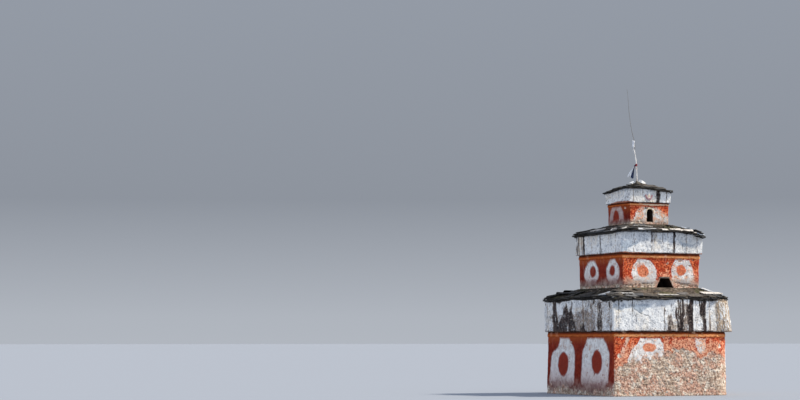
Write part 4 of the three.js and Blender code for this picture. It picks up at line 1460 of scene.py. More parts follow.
# Slabs that stand out on the roofs: side, u, distance in from the rim, width, depth, thickness, lift of
# the outer edge, twist, paleness and tint.
CHOSEN = {
    "base": [
        (FRONT, -1.40, 0.14, 0.42, 0.20, 0.026, 0.050, 0.05, 0.93, 0.68),
        (FRONT, -1.42, 0.26, 0.50, 0.26, 0.024, 0.075, -0.12, 0.60, 0.9),
        (FRONT, -0.16, 0.10, 0.66, 0.13, 0.018, 0.020, 0.06, 0.90, 0.7),
        (FRONT, 0.62, 0.06, 0.42, 0.26, 0.020, 0.010, -0.06, 0.30, 0.5),
        (FRONT, 1.32, 0.22, 0.66, 0.22, 0.026, 0.030, -0.16, 0.96, 0.9),
        (FRONT, 1.75, 0.10, 0.50, 0.30, 0.022, 0.015, 0.04, 0.80, 0.6),
        (FRONT, -0.82, 0.07, 0.40, 0.24, 0.018, 0.010, 0.10, 0.45, 0.3),
        (LEFT, -1.00, 0.30, 0.78, 0.24, 0.026, 0.040, 0.16, 0.10, 0.05),
        (LEFT, 1.36, 0.16, 0.50, 0.34, 0.024, 0.030, 0.0, 0.90, 0.45),
        (LEFT, 0.20, 0.22, 0.56, 0.26, 0.020, 0.012, -0.08, 0.35, 0.4),
        (RIGHT, 0.30, 0.14, 0.62, 0.34, 0.024, 0.015, 0.08, 0.85, 0.6),
        (BACK, -0.7, 0.2, 0.6, 0.34, 0.024, 0.02, -0.06, 0.7, 0.5),
        (BACK, 0.8, 0.12, 0.5, 0.3, 0.022, 0.02, 0.1, 0.9, 0.4),
        (RIGHT, -0.9, 0.22, 0.55, 0.3, 0.022, 0.02, 0.1, 0.3, 0.4),
    ],
    "middle": [
        (LEFT, -0.38, 0.24, 0.50, 0.24, 0.018, 0.010, 0.06, 0.90, 0.8),
        (LEFT, 0.48, 0.30, 0.60, 0.30, 0.022, 0.022, -0.05, 0.60, 0.6),
        (LEFT, -0.86, 0.12, 0.44, 0.26, 0.018, 0.018, 0.10, 0.20, 0.1),
        (LEFT, 1.02, 0.10, 0.52, 0.20, 0.024, 0.030, 0.0, 0.97, 0.7),
        (FRONT, -0.98, 0.14, 0.52, 0.30, 0.024, 0.026, 0.08, 0.55, 0.2),
        (FRONT, -0.46, 0.30, 0.56, 0.13, 0.018, 0.034, -0.10, 0.92, 0.7),
        (FRONT, -0.30, 0.12, 0.60, 0.24, 0.020, 0.016, -0.03, 0.30, 0.2),
        (FRONT, 0.00, 0.035, 0.36, 0.075, 0.016, -0.020, -0.05, 0.97, 0.75),
        (FRONT, 0.40, 0.030, 0.34, 0.070, 0.016, -0.022, 0.03, 0.93, 0.80),
        (FRONT, 0.76, 0.030, 0.38, 0.075, 0.018, -0.024, -0.04, 0.97, 0.85),
        (FRONT, 1.08, 0.034, 0.30, 0.080, 0.018, -0.022, 0.05, 0.97, 0.75),
        (FRONT, -0.44, 0.026, 0.58, 0.066, 0.016, -0.026, 0.02, 0.95, 0.62),
        (LEFT, 0.92, 0.035, 0.46, 0.070, 0.018, -0.022, 0.05, 0.97, 0.75),
        (RIGHT, 0.2, 0.16, 0.6, 0.28, 0.02, 0.02, 0.1, 0.8, 0.6),
        (BACK, 0.3, 0.2, 0.6, 0.28, 0.02, 0.02, -0.1, 0.5, 0.5),
        (RIGHT, -0.7, 0.2, 0.5, 0.26, 0.02, 0.02, -0.1, 0.9, 0.5),
    ],
    "top": [
        (FRONT, 0.14, 0.24, 0.46, 0.26, 0.016, 0.012, 0.10, 0.80, 0.7),
        (FRONT, 0.34, 0.10, 0.36, 0.22, 0.014, 0.010, -0.05, 0.60, 0.5),
        (FRONT, -0.40, 0.12, 0.40, 0.26, 0.018, 0.020, 0.05, 0.15, 0.1),
        (LEFT, 0.42, 0.12, 0.36, 0.26, 0.018, 0.020, -0.05, 0.10, 0.1),
        (LEFT, -0.10, 0.16, 0.40, 0.24, 0.016, 0.012, 0.08, 0.30, 0.2),
        (BACK, 0.1, 0.2, 0.4, 0.24, 0.016, 0.012, 0.0, 0.6, 0.5),
        (RIGHT, 0.0, 0.18, 0.4, 0.26, 0.016, 0.012, 0.1, 0.75, 0.6),
    ],
}


# The long slabs on the hips: length, width and thickness.
HIP_SLATES = {"base": (0.69, 0.33, 0.042), "middle": (0.64, 0.27, 0.036)}
HIP_CORNERS = ("front_right", "back_right", "back_left", "front_left")


def build_loose_slabs(tier, loose):
    """Slates laid and left on the roof bed, sunk a little into it, and the big ones on the hips."""
    name, half, radii = tier["name"], tier["eave_half"], tier["rim_radii"]
    start, end = bed_rows(tier)[:2]
    path = rim_path(start, radii)
    whole = path[2][-1]
    form = Form()
    rng = np.random.default_rng(900 + len(name))

    def lay(s, back, wide, deep, thick, raised, twist, roll, around=14, **fields):
        place, out2 = on_path(path, s)
        spot = place - out2 * back
        inner, outer = spot - out2 * deep * 0.4, spot + out2 * deep * 0.4
        outer = keep_within(np.array([[*outer, 0.0]]), start, radii)[0, :2]
        z_in, z_out = bed_height(tier, *inner) + max(-raised, 0), bed_height(tier, *outer) + max(raised, 0)
        slope = math.atan2(z_in - z_out, float(np.hypot(*(outer - inner))))
        axes = axes_of(out2, slope, twist, roll)
        points, faces = slab(rng, wide, deep, thick, around)
        centre = np.array([*spot, (z_in + z_out) / 2 + thick * 0.28])
        form.add(keep_within(points @ axes + centre, half - 0.003, radii), faces, **fields)
        if abs(raised) > thick * 0.6:
            prop(spot, out2, wide, deep, raised)

    def prop(spot, out2, wide, deep, raised):
        """Stones that hold up the raised edge of a slab."""
        for share in (-0.3, 0.25):
            size = abs(raised) * 0.9
            q, f = stone(rng, (size * 2.2, size * 2.6, size + 0.012), finer=1, cuts=4)
            at = spot + np.array([-out2[1], out2[0]]) * wide * share + out2 * deep * 0.26 * np.sign(raised)
            form.add(q + [*at, bed_height(tier, *at) + size * 0.3], [f], tint=0.2, pale=0.1, wet=0.0)

    def tones(tint, pale):
        return dict(tint=rng.random() * tint, pale=rng.random() * pale, wet=rng.random())

    s = 0.0
    while s < whole:
        wide = rng.uniform(*tier["slate_wide"]) * rng.uniform(0.6, 1.0)
        if rng.random() < 0.74:
            deep = rng.uniform(0.14, 0.30) * (0.55 + 0.45 * tier["relief"])
            back = deep / 2 + rng.uniform(-0.05, 0.03)
            thick = tier["slate_thick"] * rng.uniform(0.5, 0.85)
            raised, twist, roll = rng.uniform(0, 0.012), rng.normal(0, 0.07), rng.normal(0, 0.018)
            lay(s + wide / 2, back, wide, deep, thick, raised, twist, roll, **tones(0.6, 0.8))
        s += wide
    for _ in range(loose):
        wide = rng.uniform(*tier["slate_wide"]) * rng.uniform(0.45, 0.9)
        s, back = rng.uniform(0, whole), rng.uniform(0.10, 0.85) * (start - end)
        deep, thick = wide * rng.uniform(0.4, 0.85), tier["slate_thick"] * rng.uniform(0.45, 0.8)
        raised, twist, roll = rng.uniform(0, 0.008), rng.normal(0, 0.3), rng.normal(0, 0.02)
        lay(s, back, wide, deep, thick, raised, twist, roll, **tones(0.7, 0.9))
    first = np.cumsum([0] + [EDGE_POINTS + corner_points(r) for r in radii])
    for side, u, back, wide, deep, thick, raised, twist, pale, tint in CHOSEN[name]:
        s = path[2][first[side]] + u + start - radii[side - 1]
        lay(s, back, wide, deep, thick, raised, twist, 0.0, around=22, pale=pale, tint=tint, wet=0.0)
    nodes = []
    for k, corner in enumerate(HIP_CORNERS if name in HIP_SLATES else ()):
        nodes.append(f"{name}_hip_slate_{corner}")
        long, wide, thick = HIP_SLATES[name]
        s = path[2][first[k + 1] - corner_points(radii[k]) // 2]
        for level in range(2):
            size = 1 - 0.2 * level
            thick_here, raised = thick * rng.uniform(0.45, 0.65), 0.012 + 0.020 * level
            twist, roll, tint = rng.normal(0, 0.10), rng.normal(0, 0.02), 0.3 + 0.5 * rng.random()
            pale = max(rng.choice([0.3, 0.75]), 0.97 * (corner == "front_right"))
            back = long * 0.42 + 0.02 * level
            lay(s, back, wide * size, long * size, thick_here, raised, twist, roll, around=20, tint=tint,
                pale=pale, wet=rng.random())
    piece = form.build(f"{name}_loose_slabs", sharp=38)
    settle(piece, "slate", MATERIALS["slate"], *nodes)
    mark_shady(piece, tier)


def build_lintel(tier):
    """The slab over a niche: where the CAD has it, or on the niche's head where that has no arch."""
    node = f"{tier['name']}_niche_lintel"
    a, b = (np.array(v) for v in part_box(node))
    size, centre = b - a, (a + b) / 2
    niche = NICHES[tier["name"]]
    if not niche["rise"]:
        size[0], centre[0] = niche["head_wide"] + 0.09, niche["u"]
        centre[2] = tier["wall_foot"] + niche["sill"] + niche["high"] + size[2] / 2
    rng = np.random.default_rng(7 + len(tier["name"]))
    points, faces = slab(rng, *size, around=30, chip=0.012)
    form = Form()
    form.add(points + centre, faces, tint=0.7, pale=0.8, wet=0.2)
    piece = form.build(f"{tier['name']}_niche_lintel_slab", sharp=40)
    settle(piece, "slate", MATERIALS["slate"], node)


# The flat faces of a wedge stone: the direction each looks in, and how far out it is cut.
WEDGE_CUTS = (
    ((0.42, -0.20, 0.88), 0.28), ((-0.93, -0.15, 0.34), 0.45), ((0.05, -0.95, 0.30), 0.42),
    ((0.1, 0.97, 0.2), 0.5), ((0, 0, -1), 0.40), ((0.9, -0.3, -0.3), 0.75),
)
# The wedge stones: name, slot, material, and 1 or -1 for the way round that the faces go.
WEDGE_STONES = (
    ("right", "limewashed_stone", "lime", 1), ("left", "limewashed_stone", "lime", -1),
    ("front", "slate", "slate", 1), ("back", "slate", "slate", -1),
)


def build_wedge_stones():
    """Broken stones that wedge the pole: flat below, with a sharp back and one long slope."""
    for name, slot, material, turn in WEDGE_STONES:
        node = f"wedge_stone_{name}"
        a, b = (np.array(v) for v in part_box(node))
        ball, faces = BALLS[3]
        p = ball.copy()
        for normal, depth in WEDGE_CUTS * 3:
            normal = np.array(normal) * [turn, 1, 1] / np.linalg.norm(normal)
            over = p @ normal - depth
            p -= np.where(over > 0, over, 0)[:, None] * normal
        p *= (1 + 0.03 * noise(p, 0.35, 5 + len(name), 2))[:, None]
        low, high = p.min(0), p.max(0)
        p = (p - (low + high) / 2) / (high - low) * (b - a)
        form = Form()
        form.add(p + (a + b) / 2, [faces], tint=0.6, pale=0.7, wet=0.3)
        piece = form.build(f"wedge_stone_{name}_rough", sharp=32)
        settle(piece, slot, MATERIALS[material], node)


# Pole, wand and cloth.
def frames_along(path):
    """A path with its direction and two directions across it at each point."""
    path = np.asarray(path, float)
    forward = np.gradient(path, axis=0)
    forward /= np.linalg.norm(forward, axis=1)[:, None]
    side = np.cross(forward, [0, 1, 0])
    side /= np.linalg.norm(side, axis=1)[:, None]
    return path, forward, side, np.cross(side, forward)


def add_cloth(form, middle, normal, thick, **fields):
    """A thin closed strip of cloth over a grid of points, thick along the normals given."""
    upper, lower = middle + normal * thick / 2, middle - normal * thick / 2
    rows, count = upper.shape[:2]
    n = rows * count
    i, j = np.meshgrid(np.arange(rows - 1), np.arange(count - 1), indexing="ij")
    a = (i * count + j).ravel()
    top = np.stack([a, a + 1, a + count + 1, a + count], -1)
    near, first = [(r, 0) for r in range(rows - 1, 0, -1)], [(0, c) for c in range(count - 1)]
    far, last = [(r, count - 1) for r in range(rows - 1)], [(rows - 1, c) for c in range(count - 1, 0, -1)]
    ids = [r * count + c for r, c in near + first + far + last]
    rim = [(q, p, p + n, q + n) for p, q in zip(ids, ids[1:] + ids[:1])]
    form.add(
        np.concatenate([upper.reshape(-1, 3), lower.reshape(-1, 3)]), [top, top[:, ::-1] + n, rim], **fields
    )


def grid_normals(grid):
    """The direction across a grid of points, at each of them."""
    normal = np.cross(np.gradient(grid, axis=0), np.gradient(grid, axis=1))
    return normal / np.maximum(np.linalg.norm(normal, axis=2, keepdims=True), 1e-12)


def wound_cloth(name, node, material, axis, low, high, radius, turns, width, seed, fall_to, fall_steps):
    """A strip wound upwards round a stick at axis(z), each turn lapping the one below, with a loose end
    that hangs."""
    steps = round(turns * 28)
    t = np.linspace(0, 1, steps)
    angle = turns * 2 * math.pi * t + seed
    z = low + width / 2 + (high - low - width) * t
    v = np.linspace(-0.5, 0.5, 9)
    spots = np.array([axis(h) for h in z])
    rough_line = np.column_stack([np.cos(angle), np.sin(angle), 5 * t])
    swell = 1 + 0.05 * noise(rough_line, 0.8, seed, 2)
    pinch = 1 - 0.35 * np.abs(noise(rough_line, 1.3, seed + 5, 2))
    grid = np.empty((steps, len(v), 3))
    for k, share in enumerate(v):
        r = radius * swell * (1 - 0.16 * share) + 0.0016 * math.sin(share * 17 + seed)
        grid[:, k, 0] = spots[:, 0] + r * np.cos(angle)
        grid[:, k, 1] = spots[:, 1] + r * np.sin(angle)
        grid[:, k, 2] = z + share * width * pinch + 0.004 * np.sin(angle + seed)
    fall = np.linspace(1 / fall_steps, 1, fall_steps)[:, None, None]
    sag = np.array([0, 0, -1.0]) * 0.25 * np.linalg.norm(fall_to) * fall ** 2
    hang = grid[0][None] + np.array(fall_to)[None, None, :] * fall + sag
    middle = hang.mean(1, keepdims=True)
    hang = middle + (hang - middle) * (1 - 0.35 * fall)
    grid = np.concatenate([hang[::-1], grid])
    form = Form()
    add_cloth(form, grid, grid_normals(grid), thick=0.0014, dark=0.0)
    return settle(form.build(name), "scarf_cloth", MATERIALS[material], node)


def spline(points, count):
    """A smooth line through the points, by their own spacing."""
    p = np.asarray(points, float)
    n = len(p)
    t = np.linspace(0, n - 1, count)
    i = np.clip(np.floor(t).astype(int), 0, n - 2)
    f = (t - i)[:, None]
    p0, p1, p2, p3 = p[np.clip(i - 1, 0, n - 1)], p[i], p[i + 1], p[np.clip(i + 2, 0, n - 1)]
    return 0.5 * (
        2 * p1 + (p2 - p0) * f + (2 * p0 - 5 * p1 + 4 * p2 - p3) * f ** 2
        + (3 * p1 - p0 - 3 * p2 + p3) * f ** 3
    )


def build_stick(name, node, line, foot_radius, head_radius, around, seed, knots, grey):
    """A round stick along a line, with knots given as place along it, height and width."""
    path, forward, side, other = frames_along(line)
    t = np.linspace(0, 1, len(path))
    angle = np.linspace(0, 2 * math.pi, around, endpoint=False)
    radius = between(foot_radius, head_radius, t)
    for at, height, width in knots:
        radius = radius + height * np.exp(-((t - at) / width) ** 2)
    ring = np.cos(angle)[None, :, None] * side[:, None, :] + np.sin(angle)[None, :, None] * other[:, None, :]
    flat = (path[:, None, :] + ring * radius[:, None, None]).reshape(-1, 3)
    grain = 0.10 * noise(flat, (0.02, 0.02, 0.25), seed, 2) + 0.10 * noise(flat, 0.06, seed + 3, 2)
    flat = flat + ring.reshape(-1, 3) * (foot_radius * grain)[:, None]
    ends = [path[0], path[-1] + forward[-1] * head_radius * 0.4]
    form = Form()
    form.add(np.concatenate([flat, ends]), skin_faces(len(path), around), grey=grey)
    return settle(form.build(name, sharp=60), "weathered_wood", MATERIALS["wood"], node)


# The crooked lines of the pole and the wand, as x and y in millimetres at even heights from foot to head.
POLE_LINE = [(-26, -2), (-29, 2), (-32, 6), (-34, 11), (-38, 16), (-54, 27), (-73, 39), (-95, 54), (-91, 53)]
WAND_LINE = [
    (-60, 36), (-67, 40), (-112, 66), (-144, 85), (-168, 99), (-188, 111), (-200, 118), (-212, 125),
    (-228, 135)
]


def stick_line(line, low, high, count, planted=None):
    """A smooth path along a crooked line, with its foot planted lower where that is given."""
    z = np.linspace(low, high, len(line))
    points = [(x / 1000, y / 1000, h) for (x, y), h in zip(line, z)]
    path = spline(points, count)
    if planted is not None:
        path = np.concatenate([[[path[0, 0], path[0, 1], planted]], path])
    return path


# The knots on the pole: place along it from 0 to 1, height and width.
POLE_KNOTS = [
    (0.18, 0.004, 0.02), (0.37, 0.003, 0.015), (0.55, 0.005, 0.02), (0.74, 0.003, 0.015), (0.9, 0.004, 0.01),
]
# The middle line of the scarf: how far out from its start, and the height.
SCARF_LINE = [(0.030, 6.141), (0.056, 6.085), (0.088, 6.010), (0.118, 5.930), (0.146, 5.852), (0.160, 5.812)]


def build_scarf():
    """The scarf hangs out from the tie, gathered to a rope at the knot and opening below in deep pleats."""
    count, folds = 60, 57
    # Directions out from the pole, up, and across the scarf.
    out = np.array([-math.cos(math.radians(30)), math.sin(math.radians(30)), 0.0])
    up, across = np.array([0, 0, 1.0]), np.array([0.5, 0.8660254, 0.0])
    start = np.array([-0.036, 0.016, 0.0])
    line = spline(SCARF_LINE, count)
    tangent = np.gradient(line, axis=0)
    tangent /= np.linalg.norm(tangent, axis=1)[:, None]
    spread = np.column_stack([-tangent[:, 1], tangent[:, 0]])
    t, v = np.linspace(0, 1, count), np.linspace(-0.5, 0.5, folds)
    width = np.interp(t, [0, 0.12, 0.40, 0.60, 0.85, 1.0], [0.026, 0.024, 0.070, 0.120, 0.172, 0.180])
    pleat = np.interp(t, [0, 0.3, 1.0], [0.0065, 0.0062, 0.0045])
    wave = np.sin(v[None, :] * 2 * math.pi * 4.5 + 0.7 * np.sin(3 * t[:, None]) + 0.5)
    flat_line = line[:, None, :] + spread[:, None, :] * (v[None, :, None] * width[:, None, None])
    hem = smooth(0.75, 1.0, t)[:, None] * 0.020 * np.sin(v * 9 + 1.0)[None, :]
    grid = start + out * flat_line[..., :1] + up * (flat_line[..., 1] + hem)[..., None]
    grid = grid + across * (pleat[:, None] * wave)[..., None]
    # Painted shade in deep blue at the gathered neck and down one side of the pleats.
    dark = smooth(0.22, 0.10, t)[:, None] + smooth(0.05, 0.25, t)[:, None] * smooth(0.02, -0.08, v)[None, :]
    form = Form()
    add_cloth(form, grid, grid_normals(grid), thick=0.0012, dark=np.tile(dark.ravel(), 2))
    scarf = form.build("pennant_scarf")
    settle(scarf, "scarf_cloth", MATERIALS["scarf"], "pennant")


def build_pole_group():
    """The pole, the wand bound to its head, the scarf and the strips that tie them on."""
    pole = stick_line(POLE_LINE, foot("pole") + 0.17, head("pole") - 0.004, 120, foot("pole"))
    build_stick(
        "pole_stick", "pole", pole, foot_radius=0.020, head_radius=0.012, around=16, seed=201,
        knots=POLE_KNOTS, grey=0.0,
    )
    wand = stick_line(WAND_LINE, foot("wand"), head("wand") - 0.002, 100)
    wand_knots = [(k / 9 + 0.05, 0.0018, 0.006) for k in range(9)]
    build_stick(
        "wand_stick", "wand", wand, foot_radius=0.007, head_radius=0.003, around=10, seed=211,
        knots=wand_knots, grey=1.0,
    )

    def at(z):
        return np.array([np.interp(z, pole[:, 2], pole[:, 0]), np.interp(z, pole[:, 2], pole[:, 1])])

    tie = wound_cloth(
        "pennant_tie_cloth", "pennant_tie", "red_cloth", at, foot("pennant_tie") - 0.014,
        head("pennant_tie") + 0.014, radius=0.027, turns=2.6, width=0.036, seed=3,
        fall_to=(-0.040, 0.022, -0.070), fall_steps=12,
    )
    binding = wound_cloth(
        "wand_binding_cloth", "wand_binding", "scarf", at, foot("wand_binding"), head("wand_binding"),
        radius=0.028, turns=6.4, width=0.058, seed=7, fall_to=(-0.030, 0.004, -0.11), fall_steps=14,
    )
    build_scarf()


# Materials, each made of nodes.
class Value:
    """A number or a colour that a node gives. Counting with it makes another node."""

    def __init__(self, paint, socket):
        self.paint, self.socket = paint, socket

    def __add__(self, other):
        return self.paint.math("ADD", self, other)

    def __sub__(self, other):
        return self.paint.math("SUBTRACT", self, other)

    def __mul__(self, other):
        return self.paint.math("MULTIPLY", self, other)

    def __truediv__(self, other):
        return self.paint.math("DIVIDE", self, other)


class Paint:
    """A material. Its methods make nodes, and all but the last give what comes out of them."""

    def __init__(self, name, roughness, specular=0.2, sheen=0.0):
        self.material = bpy.data.materials.new(name)
        self.material.use_nodes = True
        self.nodes, self.links = self.material.node_tree.nodes, self.material.node_tree.links
        self.shader = self.nodes["Principled BSDF"]
        for key, value in (
            ("Roughness", roughness), ("Specular IOR Level", specular), ("Sheen Weight", sheen)
        ):
            self.shader.inputs[key].default_value = value
        self.place = Value(self, self.nodes.new("ShaderNodeTexCoord").outputs["Object"])

    def node(self, kind, inputs, output=0, **settings):
        made = self.nodes.new("ShaderNode" + kind)
        for key, value in settings.items():
            setattr(made, key, value)
        for key, value in inputs.items():
            if isinstance(value, Value):
                self.links.new(value.socket, made.inputs[key])
            else:
                made.inputs[key].default_value = value
        return Value(self, made.outputs[output])

    def fields(self, *names):
        """The numbers that the pieces carry under these names."""
        return [self.node("Attribute", {}, "Fac", attribute_name=name) for name in names]

    def field(self, name):
        return self.fields(name)[0]

    def vector(self, operation, a, b):
        return self.node("VectorMath", {0: a, 1: b}, operation=operation)

    def stretch(self, x, y, z):
        return self.vector("MULTIPLY", self.place, (x, y, z))

    def noise(self, scale, detail=3.0, rough=0.55, place=None, output="Fac"):
        inputs = {"Vector": place or self.place, "Scale": scale, "Detail": detail, "Roughness": rough}
        return self.node("TexNoise", inputs, output)

    def cells(self, scale):
        """How far it is to the nearest of many scattered points."""
        return self.node("TexVoronoi", {"Vector": self.place, "Scale": scale}, "Distance")

    def math(self, operation, a, b):
        return self.node("Math", {0: a, 1: b}, operation=operation)

    def larger(self, a, b):
        return self.math("MAXIMUM", a, b)

    def fit(self, value, low, high, to_low=0.0, to_high=1.0, way="SMOOTHSTEP"):
        """0 where the value is low, 1 where it is high, or from to_low to to_high."""
        inputs = {"Value": value, "From Min": low, "From Max": high, "To Min": to_low, "To Max": to_high}
        return self.node("MapRange", inputs, interpolation_type=way)

    def vary(self, share, low, high):
        """A number that is low where the share is 0, and high where it is 1."""
        return self.fit(share, 0, 1, low, high)

    def blend(self, share, a, b, way="MIX"):
        """Colour a where the share is 0, colour b where it is 1."""
        a, b = (c if isinstance(c, Value) else (*c, 1.0) for c in (a, b))
        return self.node("Mix", {0: share, 6: a, 7: b}, 2, data_type="RGBA", blend_type=way)

    def darken(self, share, colour, factors):
        """The colour times these factors where the share is 1."""
        return self.blend(share, colour, factors, "MULTIPLY")

    def finish(self, colour, height, distance, strength):
        """Gives the material its colour, and a relief as deep as the distance."""
        relief = self.node("Bump", {"Height": height, "Distance": distance, "Strength": strength})
        self.links.new(colour.socket, self.shader.inputs["Base Color"])
        self.links.new(relief.socket, self.shader.inputs["Normal"])
        return self.material


def mud(m, grain):
    """Bare rubble in mud: beige, brown and pinkish stones, with some plaster left on them and dark holes."""
    brown, beige, pink = (0.44, 0.31, 0.23), (0.70, 0.56, 0.44), (0.66, 0.34, 0.24)
    plaster, chip, hole = (0.86, 0.78, 0.66), (0.88, 0.78, 0.64), (0.15, 0.09, 0.06)
    dark_joint, pale_joint = (0.24, 0.16, 0.115), (0.56, 0.42, 0.31)
    stones, tone = m.fields("stones", "tone")
    wide, patch = m.noise(3.2, 3), m.noise(9, 4)
    colour = m.blend(m.fit(tone + (patch - 0.5) * 3.0, -1.0, 1.0), brown, beige)
    colour = m.blend(m.fit(wide + tone * 0.05, 0.43, 0.57) * 0.75, colour, pink)
    colour = m.blend(m.fit(m.noise(5, 3) + stones * 0.03, 0.54, 0.66) * 0.85, colour, plaster)
    colour = m.blend(m.fit(stones, 0.35, 0.0), colour, m.blend(grain, dark_joint, pale_joint))
    holes = m.fit(m.cells(15), 0.30, 0.16) * m.fit(wide, 0.40, 0.52)
    colour = m.blend(m.larger(m.fit(grain, 0.48, 0.38) * 0.8, holes), colour, hole)
    return m.blend(m.fit(grain, 0.54, 0.64) * 0.75, colour, chip)


def worn_red(m, sunny, near, drop, patch, grain, speck):
    """The red of the walls: deep on the shaded sides, faded on the sunny ones and thin in patches."""
    deep_dark, deep_light, deep_pit = (0.185, 0.016, 0.008), (0.31, 0.036, 0.016), (0.07, 0.012, 0.008)
    orange_edge = (0.46, 0.10, 0.025)
    faded_dark, faded_light, faded_chalk = (0.50, 0.045, 0.015), (0.74, 0.13, 0.045), (0.92, 0.30, 0.12)
    pit, rosy_coat, cream_coat = (0.15, 0.020, 0.012), (0.62, 0.26, 0.15), (0.90, 0.66, 0.46)
    deep = m.blend(m.fit(patch, 0.34, 0.66), deep_dark, deep_light)
    deep = m.blend(m.fit(grain, 0.44, 0.32) * 0.6, deep, deep_pit)
    deep = m.blend(m.fit(drop + (patch - 0.5) * 0.5, 0.24, 0.0) * 0.65, deep, orange_edge)
    faded = m.blend(m.fit(patch, 0.36, 0.64), faded_dark, faded_light)
    faded = m.blend(m.fit(grain, 0.51, 0.62) * 0.85, faded, faded_chalk)
    red = m.blend(sunny, deep, faded)
    red = m.blend(m.fit(grain, 0.49, 0.40) * m.vary(sunny, 0.20, 0.80), red, pit)
    thin = m.fit(near + (patch - 0.5) * 1.6 + speck * 0.9, 0.66, 1.0)
    return m.blend(thin * 0.50, red, m.blend(m.fit(grain, 0.40, 0.58), rosy_coat, cream_coat))


def painted_rings(m, red, sunny, near, up, patch, grain, speck):
    """Rings and hearts on the red: soft-edged on the shaded sides, worn through, and faint at the foot."""
    chalk_dark, chalk_light = (0.74, 0.71, 0.69), (0.93, 0.92, 0.90)
    cream, brown = (0.80, 0.62, 0.46), (0.40, 0.25, 0.18)
    rosy_chalk, deep_heart, sunny_heart = (0.80, 0.63, 0.59), (0.34, 0.050, 0.030), (0.88, 0.30, 0.15)
    mottled = m.field("mottled")
    edge = m.vary(sunny, 0.030, 0.012)
    crooked = patch - 0.5 + speck * 0.8
    ring = (m.field("white") + crooked * m.vary(mottled, 0.075, 0.26)) / edge
    heart = (m.field("heart") + crooked * m.vary(sunny, 0.045, 0.12)) / edge
    wear = grain * 0.6 + patch * 0.5 + near * 0.035 + mottled * 0.055
    painted = m.fit(ring, -1.3, 1.3) * m.fit(heart, 1.2, -1.2) * m.fit(wear, 0.72, 0.61)
    height = up + (patch - 0.5) * 0.4 + speck * 0.25
    foot = m.fit(height, m.vary(sunny, 0.10, -0.2), m.vary(sunny, 0.36, -0.1))
    painted = painted * m.vary(foot, 0.25, 1.0) * m.vary(m.field("faint"), 1.0, 0.55)
    chalk = m.blend(m.fit(m.noise(9, 4), 0.38, 0.64), chalk_dark, chalk_light)
    chalk = m.blend(m.fit(patch + mottled * 0.12, 0.50, 0.66) * m.vary(mottled, 0.30, 0.75), chalk, cream)
    chalk = m.blend(m.fit(grain, 0.45, 0.35) * m.vary(sunny, 0.35, 0.75), chalk, brown)
    rosy = m.fit(up + (patch - 0.5) * 0.5, 0.66, 0.22) * m.vary(sunny, 0.62, 0.0)
    chalk = m.blend(rosy, chalk, rosy_chalk)
    hearts = m.fit(heart, -1.0, 1.0) * m.vary(sunny, 0.50, 0.45)
    return m.blend(hearts, m.blend(painted, red, chalk), m.blend(sunny, deep_heart, sunny_heart))


def red_plaster():
    """Red walls with painted rings, dripped on from above, splashed with earth below, and bare where the
    coat is lost."""
    drip, pit = (0.80, 0.55, 0.42), (0.15, 0.035, 0.022)
    dark_earth, pale_earth = (0.24, 0.165, 0.14), (0.48, 0.37, 0.31)
    hood_shade, hood_cream = (0.62, 0.40, 0.24), (0.96, 0.86, 0.64)
    niche_near_black, niche_dark_brown = (0.022, 0.016, 0.013), (0.075, 0.052, 0.040)
    m = Paint("red_plaster", 0.95, 0.12)
    broad, patch, grain, fine = m.noise(1.7, 3), m.noise(6.5, 4, 0.6), m.noise(24, 4, 0.62), m.noise(85, 3)
    sunny, lost, near, up, drop = m.fields("sunny", "lost", "near", "up", "drop")
    speck = grain - 0.5 + (fine - 0.5) * 0.6
    red = worn_red(m, sunny, near, drop, patch, grain, speck)
    colour = painted_rings(m, red, sunny, near, up, patch, grain, speck)
    # Pale drips under the string course, and the one wide run at the near corner.
    drips = m.noise(1, 3, 0.6, m.stretch(26, 26, 1.6))
    dripping = m.fit(drips, 0.60, 0.72) * m.fit(drop, 0.55, 0.0)
    run = m.field("drips") * m.fit(patch + speck * 0.6, 0.36, 0.56)
    colour = m.blend(m.larger(dripping * 0.5, run), colour, drip)
    # Dark pits where grit has fallen out.
    pitted = m.fit(m.cells(15), 0.26, 0.13) * m.fit(patch + sunny * 0.18, 0.56, 0.64)
    colour = m.blend(pitted * 0.85, colour, pit)
    # Splashed earth towards the foot.
    earth = m.blend(m.fit(patch, 0.35, 0.65), dark_earth, pale_earth)
    level = m.fit(up, 0.42, 0.02, way="LINEAR")
    splash = level + (patch - 0.5) * 0.5 + (broad - 0.5) * 0.7 + speck * 0.3
    colour = m.blend(m.fit(splash, 0.16, 1.10) * 0.94, colour, earth)
    gone = m.fit(lost + speck * 1.7, 0.32, 0.74)
    colour = m.blend(gone, colour, mud(m, grain))
    hood_colour = m.blend(m.fit(grain, 0.40, 0.58), hood_shade, hood_cream)
    colour = m.blend(m.field("hood") * 0.92, colour, hood_colour)
    # Near black inside the niche.
    colour = m.blend(m.field("niche_darkening"), colour, m.blend(grain, niche_near_black, niche_dark_brown))
    height = grain * 0.7 + fine * 0.3 + m.fit(m.cells(38), 0.0, 0.25) * 0.2 - pitted * 0.6
    return m.finish(colour, height, 0.014, 0.85)


